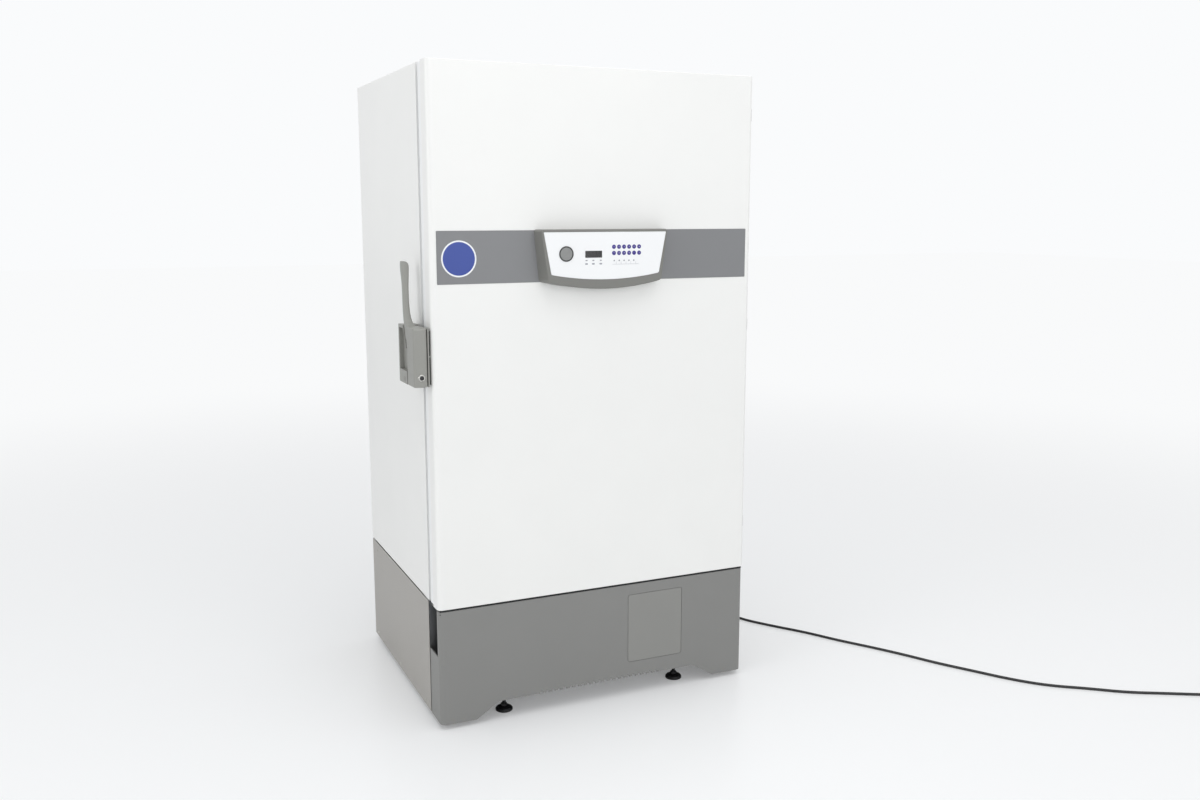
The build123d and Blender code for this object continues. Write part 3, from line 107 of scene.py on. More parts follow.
wired(
    tree,
    (spot, "Object", reach, 0),
    (reach, "Value", fade, "Value"),
    (ray, "Is Camera Ray", share, 0),
    (fade, "Result", share, 1),
    (share, 0, blend, 0),
    (paint, 0, blend, 1),
    (own_white, 0, blend, 2),
    (blend, 0, tree.nodes["Material Output"], "Surface"),
)
floor.data.materials.append(floor_paint)

room = bpy.data.worlds.new("white_room")
bpy.context.scene.world = room
room.use_nodes = True
tree = room.node_tree
ambient = tree.nodes["Background"]
ambient.inputs["Color"].default_value = (0.97, 0.985, 1.0, 1.0)
ambient.inputs["Strength"].default_value = 0.62
seen = added(tree, "Background", Color=(0.955, 0.965, 0.975, 1.0), Strength=1.0)
ray = added(tree, "LightPath")
direct, either = added(tree, "Math"), added(tree, "Math")
direct.operation = either.operation = "MAXIMUM"
choose = added(tree, "MixShader")
wired(
    tree,
    (ray, "Is Camera Ray", direct, 0),
    (ray, "Is Glossy Ray", direct, 1),
    (direct, 0, either, 0),
    (ray, "Is Transmission Ray", either, 1),
    (either, 0, choose, 0),
    (ambient, 0, choose, 1),
    (seen, 0, choose, 2),
    (choose, 0, tree.nodes["World Output"], "Surface"),
)

for lamp_name, spot, aim, size, power in (
    ("ceiling_box", (0.2, -1.2, 4.6), (0.0, 0.0, 0.6), 4.5, 70.0),
    ("front_box", (0.8, -6.0, 2.6), (0.0, 0.0, 1.0), 3.5, 67.0),
    ("left_box", (-5.5, -1.5, 2.4), (0.0, 0.0, 1.0), 3.0, 62.0),
):
    lamp_data = bpy.data.lights.new(lamp_name, "AREA")
    lamp_data.shape = "SQUARE"
    lamp_data.size = size
    lamp_data.energy = power
    lamp = placed(lamp_name, lamp_data)
    lamp.location = spot
    lamp.rotation_euler = (Vector(aim) - Vector(spot)).to_track_quat("-Z", "Y").to_euler()


# Cabinet wrapper: one folded sheet of steel with a smooth off-white powder coat, closed
# round the foam and rolled to a small radius along its four long edges.
def coating(name, display, roughness, grain, depth, mottle, stretch=(1, 1, 1), metal=0.0):
    """Finish with fine grain in its bump and its gloss, and slow drifts of tone over the surface.

    The colour is a display colour, whose three channels go from 0 to 255.
    """
    shares = [channel / 255 for channel in display]
    colour = [((s + 0.055) / 1.055) ** 2.4 if s > 0.04 else s / 12.92 for s in shares]
    finish = bpy.data.materials.new(name)
    finish.use_nodes = True
    tree = finish.node_tree
    shader = tree.nodes["Principled BSDF"]
    shader.inputs["Metallic"].default_value = metal
    spot = added(tree, "TexCoord")
    spread = added(tree, "Mapping", Scale=stretch)
    drift = added(tree, "TexNoise", Scale=5.0, Detail=6.0)
    tones = added(tree, "ValToRGB")
    for stop, place, change in zip(tones.color_ramp.elements, (0.3, 0.7), (-mottle, mottle)):
        stop.position = place
        stop.color = (*(min(1.0, c * (1 + change)) for c in colour), 1.0)
    dull, bright = min(1.0, roughness * 1.15), max(0.02, roughness * 0.85)
    gloss = added(tree, "MapRange", To_Min=bright, To_Max=dull)
    grit = added(tree, "TexNoise", Scale=1 / grain, Detail=2.0)
    relief = added(tree, "Bump", Strength=depth, Distance=grain)
    wired(
        tree,
        (spot, "Object", spread, "Vector"),
        (spot, "Object", drift, "Vector"),
        (spread, "Vector", grit, "Vector"),
        (drift, "Fac", tones, "Fac"),
        (grit, "Fac", gloss, "Value"),
        (grit, "Fac", relief, "Height"),
        (tones, "Color", shader, "Base Color"),
        (gloss, "Result", shader, "Roughness"),
        (relief, "Normal", shader, "Normal"),
    )
    return finish


def rest():
    """Go to object mode with nothing selected."""
    if bpy.context.object and bpy.context.object.mode == "EDIT":
        bpy.ops.object.mode_set(mode="OBJECT")
    bpy.ops.object.select_all(action="DESELECT")


def only(piece):
    """Make one object the only selected and active one, in object mode."""
    rest()
    piece.select_set(True)
    bpy.context.view_layer.objects.active = piece


def block(name, low, high):
    """Box between two opposite corners, to be shaped further."""
    low, high = Vector(low), Vector(high)
    rest()
    bpy.ops.mesh.primitive_cube_add(size=1.0, location=(low + high) / 2)
    piece = bpy.context.object
    piece.name = name
    piece.scale = high - low
    bpy.ops.object.transform_apply()
    return piece


def pick(piece, kind, test=lambda item: True):
    """Go to edit mode with just the faces, edges or corners selected that pass a test."""
    if bpy.context.object != piece or piece.mode != "EDIT":
        only(piece)
        bpy.ops.object.mode_set(mode="EDIT")
    bpy.ops.mesh.select_mode(type=kind)
    bpy.ops.mesh.select_all(action="DESELECT")
    form = bmesh.from_edit_mesh(piece.data)
    form.normal_update()
    for item in {"FACE": form.faces, "EDGE": form.edges, "VERT": form.verts}[kind]:
        if test(item):
            item.select_set(True)
    form.select_flush_mode()
    bmesh.update_edit_mesh(piece.data)


def along(axis):
    """Test for the edges that lie along one axis."""

    def test(edge):
        way = edge.verts[1].co - edge.verts[0].co
        return abs(way[axis]) > 0.99 * way.length

    return test


def roll(piece, test, width, segments):
    """Round the edges that pass a test."""
    pick(piece, "EDGE", test)
    bpy.ops.mesh.bevel(offset=width, segments=segments, affect="EDGES")


def apply(piece, kind, **settings):
    """Put one modifier on a piece and apply it."""
    only(piece)
    step = piece.modifiers.new("step", kind)
    for name, value in settings.items():
        setattr(step, name, value)
    bpy.ops.object.modifier_apply(modifier=step.name)


def smooth(piece, angle=40.0, weighted=True):
    """Shade a piece smooth but for its sharp edges, with the large faces kept flat."""
    only(piece)
    bpy.ops.object.shade_smooth_by_angle(angle=math.radians(angle))
    if weighted:
        apply(piece, "WEIGHTED_NORMAL", keep_sharp=True)


def soften(piece, width, segments=3, angle=30.0):
    """Round the sharp edges, and shade the rest smooth."""
    limit = math.radians(angle)
    apply(piece, "BEVEL", width=width, segments=segments, limit_method="ANGLE", angle_limit=limit)
    smooth(piece)


def fit(piece, body, slot, finish, *replaced):
    """Give a piece its finish and its body, and hide the solids that it stands for. The slot is not used.
    """
    only(piece)
    piece.data.materials.clear()
    piece.data.materials.append(finish)
    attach(piece, body)
    if replaced:
        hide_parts(*replaced)


sheet_thickness, edge_roll = 0.0015, 0.004
cabinet_paint = coating("cabinet_paint", (238, 238, 236), 0.36, grain=0.0016, depth=0.06, mottle=0.008)
wrapper = block("cabinet_wrapper", *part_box("cabinet_shell"))
pick(wrapper, "FACE", lambda face: abs(face.normal.y) > 0.9)
bpy.ops.mesh.delete(type="ONLY_FACE")
roll(wrapper, along(1), edge_roll, 5)
apply(wrapper, "SOLIDIFY", thickness=sheet_thickness, offset=-1.0)
smooth(wrapper, weighted=False)
fit(wrapper, "cabinet", "cabinet_white", cabinet_paint, "cabinet_shell")

# Rear sheet: a flat painted sheet inside the wrapper's rear edge, with three pressed ribs
# that stiffen it and a hole for the access port.
slots = {part["node"]: part["material_slot"] for part in frame["record"]["subparts"]}


def copied(name, node):
    """Copy of a solid's form with its seams merged and its flat faces whole."""
    piece = placed(name, nodes[node].data.copy())
    pick(piece, "FACE")
    bpy.ops.mesh.remove_doubles(threshold=0.00002)
    bpy.ops.mesh.dissolve_limited(angle_limit=math.radians(0.6))
    only(piece)
    return piece


def refined(name, node, width, body, finish, segments=2):
    """Copy of a solid's form with its sharp edges rounded, in the solid's place."""
    piece = copied(name, node)
    soften(piece, width, segments)
    fit(piece, body, slots[node], finish, node)
    return piece


refined("rear_sheet", "cabinet_back", 0.0012, "cabinet", cabinet_paint)

# Foam: rigid polyurethane that fills the walls of the cabinet and of the door, poured in
# place. It shows nowhere on the finished freezer.
foam = coating("poured_foam", (226, 205, 150), 0.85, grain=0.004, depth=0.6, mottle=0.08)
refined("wall_foam", "cabinet_insulation", 0.001, "cabinet", foam)
refined("door_foam", "door_insulation", 0.001, "door", foam)

# Inner tank: thin stainless sheet, brushed from side to side, with its corners rolled to a
# small radius. It keeps the cold side of the foam.
brushed = coating(
    "brushed_stainless", (196, 198, 200), 0.3,
    grain=0.0012, depth=0.1, mottle=0.03, stretch=(0.02, 1, 1), metal=1.0,
)
corner_roll = 0.009
tank = block("inner_tank", *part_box("inner_liner"))
pick(tank, "FACE", lambda face: face.normal.y < -0.9)
bpy.ops.mesh.delete(type="ONLY_FACE")
roll(tank, lambda edge: len(edge.link_faces) == 2, corner_roll, 6)
apply(tank, "SOLIDIFY", thickness=sheet_thickness, offset=-1.0)
smooth(tank)
fit(tank, "cabinet", "stainless", brushed, "inner_liner")


# Breaker frame: white moulded plastic that covers the front edge of the walls, from the
# wrapper to the tank, so that no metal joins the warm side to the cold side.
def shift(*way):
    """Move what is selected."""
    bpy.ops.transform.translate(value=way)


def at_mouth(v):
    """Whether a corner lies round the mouth and not on the frame's outside."""
    return low.x + 0.01 < v.co.x < high.x - 0.01


moulded_white = coating("moulded_white", (240, 241, 241), 0.32, grain=0.002, depth=0.05, mottle=0.01)
low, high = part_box("breaker_frame")
side_wall, floor_wall, ceiling_wall = 0.080, 0.130, 0.110
breaker = block("breaker", low, high)
pick(breaker, "FACE", lambda face: abs(face.normal.y) > 0.9)
bpy.ops.mesh.inset(thickness=side_wall)
pick(breaker, "VERT", lambda v: at_mouth(v) and v.co.z < low.z + 0.1)
shift(0.0, 0.0, floor_wall - side_wall)
pick(breaker, "VERT", lambda v: at_mouth(v) and v.co.z > high.z - 0.1)
shift(0.0, 0.0, side_wall - ceiling_wall)
pick(breaker, "FACE", lambda face: all(at_mouth(v) for v in face.verts))
bpy.ops.mesh.bridge_edge_loops()
soften(breaker, 0.002, 4)
fit(breaker, "cabinet", "liner_white", moulded_white, "breaker_frame")


# Shelves: four folded stainless trays with a turned-down rim. Each is stiffened by
# pressed channels across its top.
def joined(name, parts):
    """One piece made of several."""
    only(parts[0])
    for part in parts[1:]:
        part.select_set(True)
    bpy.ops.object.join()
    parts[0].name = name
    return parts[0]


def moved(piece, move, way=(0, 0, 1)):
    """Copy of a piece, moved, with its upward axis turned along a direction."""
    twin = placed(piece.name, piece.data.copy())
    turn = Vector((0, 0, 1)).rotation_difference(Vector(way)).to_matrix().to_4x4()
    twin.data.transform(Matrix.Translation(move) @ turn)
    return twin


def copies(piece, moves):
    """Copies of a piece, moved to where it is needed, in place of the piece itself."""
    twins = [moved(piece, move) for move in moves]
    bpy.data.objects.remove(piece)
    return twins


shelf_finish = coating(
    "shelf_stainless", (188, 190, 193), 0.34,
    grain=0.0012, depth=0.12, mottle=0.04, stretch=(1, 0.02, 1), metal=1.0,
)
low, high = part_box("shelves")
shelf_set = refined("shelf_set", "shelves", 0.0008, "cabinet", shelf_finish)
shelf_pitch = 0.268
channel_gap, channel_inset, channel_half = (high.y - low.y) / 8, 0.06, 0.011
channel_low = (low.x + channel_inset, -channel_half, -0.0006)
channel = block("channel", channel_low, (high.x - channel_inset, channel_half, 0.0022))
soften(channel, 0.0016)
channel_spots = [
    (0.0, low.y + row * channel_gap, high.z - number * shelf_pitch)
    for number in range(4)
    for row in range(1, 8)
]
channels = copies(channel, channel_spots)
fit(joined("shelf_set", [shelf_set, *channels]), "cabinet", "stainless", shelf_finish)

# Shelf uprights: four stainless strips on the tank's side walls, with a folded ledge
# under each shelf.
refined("uprights", "shelf_ladders", 0.0008, "cabinet", shelf_finish)

# Inner door brackets: small plated steel plates at the tank's right edge, each with the
# pins of the doors above and below it.
plated = coating(
    "plated_steel", (178, 179, 180), 0.32,
    grain=0.0011, depth=0.1, mottle=0.05, stretch=(1, 1, 0.05), metal=1.0,
)
refined("inner_brackets", "inner_door_hinges", 0.0005, "cabinet", plated)


# Inner doors: five light foam-filled doors of white moulded plastic with a raised border,
# a recessed panel and a pull on the left. A thin grey seal runs round the back of each.
def opened(piece, border):
    """Cut a slab through from front to back, up to a border of one width."""
    pick(piece, "FACE", lambda face: abs(face.normal.y) > 0.9)
    bpy.ops.mesh.inset(thickness=border)
    bpy.ops.mesh.bridge_edge_loops()


door_plastic = coating("inner_door_plastic", (234, 236, 236), 0.42, grain=0.0014, depth=0.12, mottle=0.012)
seal_rubber = coating("seal_rubber", (120, 123, 125), 0.6, grain=0.0012, depth=0.2, mottle=0.06)
pull_side, hinge_side, seal_rise, seal_width = 0.014, 0.030, 0.008, 0.009
for number in range(1, 6):
    node = f"inner_door_{number}"
    refined(f"inner_leaf_{number}", node, 0.0022, node, door_plastic, 3)
    low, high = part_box(node)
    seal_low = (low.x + pull_side, high.y - 0.001, low.z + seal_rise)
    seal_high = (high.x - hinge_side, high.y + 0.004, high.z - seal_rise)
    seal = block(f"inner_seal_{number}", seal_low, seal_high)
    opened(seal, seal_width)
    soften(seal, 0.0014)
    fit(seal, node, "gasket_grey", seal_rubber)


# Access port: a moulded black plug in the rear wall, turned out by a bar across its face,
# and a white cap over the hole inside the tank.
def draw(*way):
    """Draw the selected faces out, with walls behind them."""
    bpy.ops.mesh.extrude_region_move(TRANSFORM_OT_translate={"value": way})


def resize(x, y, z, centre):
    """Resize what is selected about a centre."""
    bpy.ops.transform.resize(value=(x, y, z), center_override=centre)


def face_out(piece):
    """Turn all faces of a piece outwards."""
    pick(piece, "FACE")
    bpy.ops.mesh.normals_make_consistent(inside=False)
    only(piece)


def disc(name, sides, radius, spot, turn=(0.0, 0.0, 0.0)):
    """Round face, selected in edit mode."""
    rest()
    bpy.ops.mesh.primitive_circle_add(
        vertices=sides, radius=radius, fill_type="NGON", location=spot, rotation=turn
    )
    piece = bpy.context.object
    piece.name = name
    bpy.ops.object.transform_apply()
    pick(piece, "FACE")
    return piece


def turned(name, centre, way, stations, sides=48, softness=0.0):
    """Round piece: a disc drawn out along a direction through stations of distance and radius."""
    piece = disc(name, sides, stations[0][1], (0.0, 0.0, stations[0][0]))
    for (before, old), (after, new) in zip(stations, stations[1:]):
        draw(0.0, 0.0, after - before)
        if new != old:
            resize(new / old, new / old, 1.0, (0.0, 0.0, after))
    face_out(piece)
    piece.rotation_euler = Vector(way).to_track_quat("Z", "Y").to_euler()
    piece.location = centre
    bpy.ops.object.transform_apply()
    if softness:
        soften(piece, softness)
    else:
        smooth(piece, 35, weighted=False)
    return piece


up, backward, forward, left, right = (0, 0, 1), (0, 1, 0), (0, -1, 0), (-1, 0, 0), (1, 0, 0)
origin = (0.0, 0.0, 0.0)
black_plastic = coating("black_plastic", (38, 38, 39), 0.45, grain=0.0011, depth=0.2, mottle=0.12)
low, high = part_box("port_plug")
x, y, z = (low.x + high.x) / 2, high.y, (low.z + high.z) / 2
port_radius, bar_half = (high.x - low.x) / 2, 0.021
stations = (
    (0.0, 0.024), (0.0, 0.0285), (0.0016, port_radius), (0.008, port_radius),
    (0.008, 0.020), (0.0094, 0.020),
)
flange = turned("flange", (x, y, z), forward, stations, softness=0.0006)
stations = ((-0.0005, 0.0205), (-0.0005, 0.023), (0.003, 0.0235))
dish = turned("dish", (x, y, z), forward, stations, softness=0.0004)
bar = block("bar", (x - bar_half, y - 0.004, z - 0.0035), (x + bar_half, y, z + 0.0035))
soften(bar, 0.0016, 4)
fit(joined("port_cap", [flange, dish, bar]), "cabinet", "black_plastic", black_plastic, "port_plug")
tank_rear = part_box("inner_liner")[1].y - sheet_thickness
stations = (
    (0.0, 0.0200), (0.0, 0.0235), (0.0022, 0.0240), (0.0032, 0.0228),
    (0.0032, 0.0150), (0.0012, 0.0140),
)
inner_cap = turned("port_inside", (x, tank_rear, z), forward, stations, softness=0.0003)
fit(inner_cap, "cabinet", "black_plastic", moulded_white)

# Rear buffers: four black rubber-like feet that keep a hand's width of air behind the
# cabinet. Each is held by a countersunk screw.
low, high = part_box("rear_spacers")
buffer_radius, reach = 0.022, high.y - low.y
stations = ((0.0, buffer_radius), (0.003, buffer_radius), (0.003, 0.0195), (reach - 0.004, 0.017))
stations += ((reach, 0.0145), (reach, 0.007), (reach - 0.004, 0.0045))
buffer_spots = [
    (x, low.y, z)
    for x in (low.x + buffer_radius, high.x - buffer_radius)
    for z in (low.z + buffer_radius, high.z - buffer_radius)
]
buffers = copies(turned("buffer", origin, backward, stations, softness=0.0006), buffer_spots)
fit(joined("wall_buffers", buffers), "cabinet", "black_plastic", black_plastic, "rear_spacers")

# Latch keeper: a nickel-plated plate screwed to the cabinet's left side, with a stout pin
# for the handle's hook.
nickel = coating("nickel", (205, 204, 200), 0.16, grain=0.0012, depth=0.05, mottle=0.03, metal=1.0)
low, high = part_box("latch_keeper")
plate_thickness = 0.003
face_x, middle_y = high.x - plate_thickness, (low.y + high.y) / 2
plate = block("plate", (face_x, low.y, low.z), high)
roll(plate, along(0), 0.005, 5)
soften(plate, 0.0007)
stations = ((0.0, 0.0075), (0.002, 0.0055), (0.003, 0.005), (0.0245, 0.005), (0.026, 0.0038))
pin = turned("pin", (face_x, middle_y, low.z + 0.020), left, stations, softness=0.0004)
stations = ((0.0, 0.0042), (0.0008, 0.0042), (0.0018, 0.003), (0.0018, 0.0014), (0.0006, 0.0012))
head_spots = [(face_x, middle_y, z) for z in (low.z + 0.008, high.z - 0.008)]
heads = copies(turned("head", origin, left, stations, 24), head_spots)
fit(joined("keeper", [plate, pin, *heads]), "cabinet", "bright_steel", nickel, "latch_keeper")

# Door hinges: three plated knuckles on the right edge. The cabinet's half carries the
# pin, and the door's half drops over it.
refined("fixed_hinges", "cabinet_hinges", 0.0008, "cabinet", plated)
refined("moving_hinges", "door_hinge_leaves", 0.0008, "door", plated)

# Door pan: one sheet of steel folded to a shallow pan, with its upright front edges rolled
# to a soft radius, a lip turned in at the back, and the same off-white powder coat.
pan_low, pan_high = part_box("door_skin")
middle_x = (pan_low.x + pan_high.x) / 2
middle_z = (pan_low.z + pan_high.z) / 2
upright_roll, rim_roll, lip = 0.014, 0.0025, 0.014
pan = block("door_pan", pan_low, pan_high)
pick(pan, "FACE", lambda face: face.normal.y > 0.9)
bpy.ops.mesh.delete(type="ONLY_FACE")
roll(pan, lambda edge: along(2)(edge) and edge.verts[0].co.y < pan_low.y + 0.001, upright_roll, 10)


def in_front(v):
    """Whether a corner lies in front of the pan's rear rim."""
    return v.co.y < pan_high.y - 0.001


roll(pan, lambda e: all(map(in_front, e.verts)) and e.calc_face_angle(0.0) > 1.2, rim_roll, 4)
pick(pan, "EDGE", lambda edge: not any(map(in_front, edge.verts)))
bpy.ops.mesh.extrude_edges_move()
wide, tall = pan_high.x - pan_low.x, pan_high.z - pan_low.z
resize(1 - 2 * lip / wide, 1.0, 1 - 2 * lip / tall, (middle_x, pan_high.y, middle_z))
face_out(pan)
apply(pan, "SOLIDIFY", thickness=sheet_thickness, offset=-1.0)
smooth(pan)
fit(pan, "door", "door_white", cabinet_paint, "door_skin")

# Door inner pan: white vacuum-formed plastic with a raised middle that fills the mouth of
# the cabinet, clipped into the steel pan's lip.
refined("inner_pan", "door_liner", 0.003, "door", moulded_white, 4)

# Door gasket: grey silicone with a magnet inside, a grooved outside that folds like
# bellows, and a soft face that meets the breaker frame.
gasket_finish = coating("gasket_silicone", (196, 198, 198), 0.5, grain=0.0013, depth=0.15, mottle=0.05)
low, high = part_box("door_gasket")
gasket_width, groove = 0.036, 0.003
gasket = block("gasket", low, high)
opened(gasket, gasket_width)
centre, reach = (low + high) / 2, (high - low) / 2


def outside(face):
    """Whether a face lies on the gasket's outer side."""
    spot = face.calc_center_median() - centre
    return abs(face.normal.y) < 0.1 and (abs(spot.x) > reach.x - 0.001 or abs(spot.z) > reach.z - 0.001)


pick(gasket, "FACE", outside)
bpy.ops.mesh.inset(thickness=groove, depth=-groove)
soften(gasket, 0.0014, 4)
fit(gasket, "door", "gasket_grey", gasket_finish, "door_gasket")

# Door band: a smooth grey film stuck across the door front, a little short of the pan's
# edges.
film = coating("band_film", (127, 128, 130), 0.42, grain=0.0016, depth=0.05, mottle=0.015)
band = block("band", *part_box("door_band"))
roll(band, along(1), 0.002, 4)
soften(band, 0.0003, 2)
fit(band, "door", "band_grey", film, "door_band")

# Round sticker: a plain blue vinyl disc with a white rim, stuck on the band's left end,
# level with the control panel.
vinyl_white = coating("vinyl_white", (236, 238, 240), 0.35, grain=0.0012, depth=0.04, mottle=0.01)
vinyl_blue = coating("vinyl_blue", (46, 70, 152), 0.33, grain=0.0012, depth=0.04, mottle=0.03)
sticker_spot = (middle_x - 0.4395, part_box("door_band")[0].y, 1.413)
rim_radius, disc_radius = 0.052, 0.0475
for name, stations, finish in (
    ("sticker_rim", ((-0.0002, rim_radius), (0.0002, rim_radius)), vinyl_white),
    ("sticker_disc", ((0.0, disc_radius), (0.00035, disc_radius)), vinyl_blue),
):
    fit(turned(name, sticker_spot, forward, stations, 96), "door", "band_grey", finish)

# Control panel housing: a grey moulding on the band, wider at the top, with a bowed lower
# edge, sides that lean in towards the front, a round rim, and a seat for the front plate.
housing_finish = coating("housing_plastic", (121, 121, 117), 0.5, grain=0.0009, depth=0.3, mottle=0.02)
base_low, base_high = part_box("panel_bezel")
foot_y, face_y = base_high.y, base_low.y
top_z, corner_z = base_high.z, 1.342
top_half, corner_half = 0.212, 0.197
face_top_half, face_corner_half = 0.204, 0.184
sag, columns = corner_z - base_low.z, 20
lower_round, upper_round, rim_round, rim_width = 0.009, 0.008, 0.0032, 0.002
rest()
bpy.ops.mesh.primitive_plane_add(size=1.0, location=(middle_x, foot_y, (top_z + corner_z) / 2))
housing = bpy.context.object
housing.name = "panel_housing"
housing.rotation_euler = (math.pi / 2, 0.0, 0.0)
housing.scale = (2 * top_half, top_z - corner_z, 1.0)
bpy.ops.object.transform_apply()
pick(housing, "EDGE", along(0))
bpy.ops.mesh.subdivide(number_cuts=columns - 1)


def pick_corners(half, low, high):
    """Pick the corners at one distance from the housing's middle, within a range of height."""

    def test(v):
        return abs(abs(v.co.x - middle_x) - half) < 0.0005 and low < v.co.z < high

    pick(housing, "VERT", test)


def narrow_foot(depth, wide, narrow):
    """Bring the lower corners in, and each column of the lower edge with them."""
    pick(housing, "VERT", lambda v: abs(v.co.y - depth) < 0.0005 and v.co.z < corner_z + 0.012)
    resize(narrow / wide, 1.0, 1.0, (middle_x, depth, corner_z))


narrow_foot(foot_y, top_half, corner_half)
for column in range(1, columns):
    share = 2 * column / columns - 1
    column_x = middle_x + share * corner_half
    pick(housing, "VERT", lambda v: abs(v.co.x - column_x) < 0.001 and v.co.z < corner_z + 0.001)
    shift(0.0, 0.0, -sag * (1 - share * share))
pick_corners(corner_half, 0.0, corner_z + 0.001)
bpy.ops.mesh.bevel(offset=lower_round, segments=6, affect="VERTICES")
pick_corners(top_half, 0.0, top_z + 0.001)
bpy.ops.mesh.bevel(offset=upper_round, segments=5, affect="VERTICES")
pick(housing, "FACE")
draw(0.0, face_y - foot_y, 0.0)
resize(face_top_half / top_half, 1.0, 1.0, (middle_x, face_y, middle_z))
narrow_foot(face_y, corner_half * face_top_half / top_half, face_corner_half)


def on_face(face):
    """Whether a face is part of the housing's flat front."""
    return abs(face.normal.y) > 0.99 and all(abs(v.co.y - face_y) < 0.0002 for v in face.verts)


roll(housing, lambda e: len(e.link_faces) == 2 and sum(map(on_face, e.link_faces)) == 1, rim_round, 5)
pick(housing, "FACE", on_face)
bpy.ops.mesh.inset(thickness=rim_width)
seat = {v.index for v in bmesh.from_edit_mesh(housing.data).verts if v.select}
pick(housing, "VERT", lambda v: v.index in seat and v.co.z < corner_z + 0.020)
shift(0.0, 0.0, 0.0170)
resize(0.98, 1.0, 0.75, (middle_x, face_y, corner_z + 0.0215))
pick(housing, "VERT", lambda v: v.index in seat and v.co.z > top_z - 0.020)
shift(0.0, 0.0, -0.002)
seat_depth = 0.0024
pick(housing, "FACE", lambda face: all(v.index in seat for v in face.verts))
draw(0.0, seat_depth, 0.0)
bpy.ops.mesh.duplicate()
bpy.ops.mesh.separate(type="SELECTED")
plate = [piece for piece in bpy.context.selected_objects if piece != housing][0]
face_out(housing)
smooth(housing)
fit(housing, "door", "housing_grey", housing_finish, "panel_bezel")

# Control panel's front plate: white printed film on a moulded plate, seated in the rim
# with a hair line round it.
printed_film = coating("printed_film", (241, 242, 243), 0.38, grain=0.001, depth=0.05, mottle=0.008)
plate.name = "panel_plate"
plate_proud = 0.0004
plate_y = face_y + plate_proud
pick(plate, "FACE")
resize(0.9982, 1.0, 0.995, (middle_x, face_y, (top_z + corner_z) / 2 + 0.008))
draw(0.0, plate_proud - seat_depth, 0.0)
face_out(plate)
soften(plate, 0.0004, 2)
fit(plate, "door", "fascia_white", printed_film, "panel_fascia")

# Keys: twelve round membrane keys in deep violet blue, each a low dome in a narrow rim,
# with a pale printed figure.
key_ink = coating("key_ink", (54, 42, 132), 0.32, grain=0.0008, depth=0.06, mottle=0.06)
pale_ink = coating("pale_ink", (206, 208, 224), 0.5, grain=0.0008, depth=0.05, mottle=0.02)
first_key, key_pitch, key_rows = middle_x + 0.0248, 0.0166, (1.4425, 1.4241)
key_height, figure_size = 0.00095, 0.0058
stations = (
    (0.0, 0.0063), (0.0005, 0.0062), (0.0006, 0.0055), (0.0003, 0.0053),
    (0.0006, 0.0046), (0.0009, 0.0028),
)
key_spots = [(first_key + column * key_pitch, plate_y, z) for z in key_rows for column in range(6)]
keys = copies(turned("key", origin, forward, stations, 32), key_spots)
fit(joined("number_keys", keys), "door", "key_violet", key_ink)
prints = []
for (x, y, z), figure in zip(key_spots, "1234567890-+"):
    bpy.ops.object.text_add(location=(x, y - key_height, z), rotation=(math.pi / 2, 0.0, 0.0))
    mark = bpy.context.object.data
    mark.body = figure
    mark.size = figure_size
    mark.align_x = mark.align_y = "CENTER"
    mark.extrude = 0.00005
    bpy.ops.object.convert(target="MESH")
    bpy.ops.object.transform_apply()
    prints.append(bpy.context.object)
fit(joined("key_figures", prints), "door", "key_violet", pale_ink)

# Function marks: six small pale membrane pads under the display, and five status marks
# with a bracket under the number keys, all printed on the film.
grey_ink = coating("grey_ink", (150, 152, 160), 0.5, grain=0.0008, depth=0.05, mottle=0.03)
pads = []
for x in (-0.064, -0.042, -0.018):
    for z, half in ((1.4035, 0.0016), (1.3935, 0.0022)):
        pad_x, pad_face = middle_x + x, plate_y - 0.0003
        pad = block("pad", (pad_x - 2 * half, pad_face, z - half), (pad_x + 2 * half, plate_y, z + half))
        roll(pad, along(1), half * 0.9, 4)
        pads.append(pad)
dot = turned("dot", origin, forward, ((0.0, 0.0022), (0.0002, 0.0022), (0.0002, 0.0012), (0.0, 0.0011)), 20)
ink_depth = 0.00015
tick = block("tick", (0.0060, -ink_depth, -0.010), (0.0066, 0.0, -0.003))
soften(tick, 0.00006, 2)
first_mark, mark_pitch, mark_z = middle_x + 0.026, 0.0161, 1.402
mark_spots = [(first_mark + number * mark_pitch, plate_y, mark_z) for number in range(5)]
bracket_low = (middle_x + 0.020, plate_y - ink_depth, 1.3908)
bracket = block("bracket", bracket_low, (middle_x + 0.108, plate_y, 1.3915))
soften(bracket, 0.00006, 2)
pads += [*copies(dot, mark_spots), *copies(tick, mark_spots), bracket]
fit(joined("status_marks", pads), "door", "key_violet", grey_ink, "panel_keys")

# Display: a dark tinted window over three unlit figures and a sign, seated flush in the
# front plate.
window = coating("tinted_window", (20, 21, 24), 0.14, grain=0.0012, depth=0.02, mottle=0.1)
unlit = coating("unlit_segment", (52, 54, 56), 0.3, grain=0.001, depth=0.05, mottle=0.05)
low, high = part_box("display_window")
glass = block("display_glass", (low.x, plate_y - 0.0006, low.z), high)
roll(glass, along(1), 0.0016, 4)
soften(glass, 0.0003, 2)
fit(glass, "door", "display_dark", window, "display_window")
segments = []
tall, wide, line = 0.0052, 0.0062, 0.0009
mid_z = (low.z + high.z) / 2
for x in (low.x + 0.0185, low.x + 0.0305, low.x + 0.0425):
    for level in (-1, 0, 1):
        z = mid_z + level * tall
        segments.append((x - wide / 2 + line, z - line / 2, x + wide / 2 - line, z + line / 2))
        if level < 1:
            for left_x in (x - wide / 2 - line / 2, x + wide / 2 - line / 2):
                segments.append((left_x, z + line * 0.7, left_x + line, z + tall - line * 0.7))
segments.append((low.x + 0.006, mid_z - line / 2, low.x + 0.011, mid_z + line / 2))
bars = []
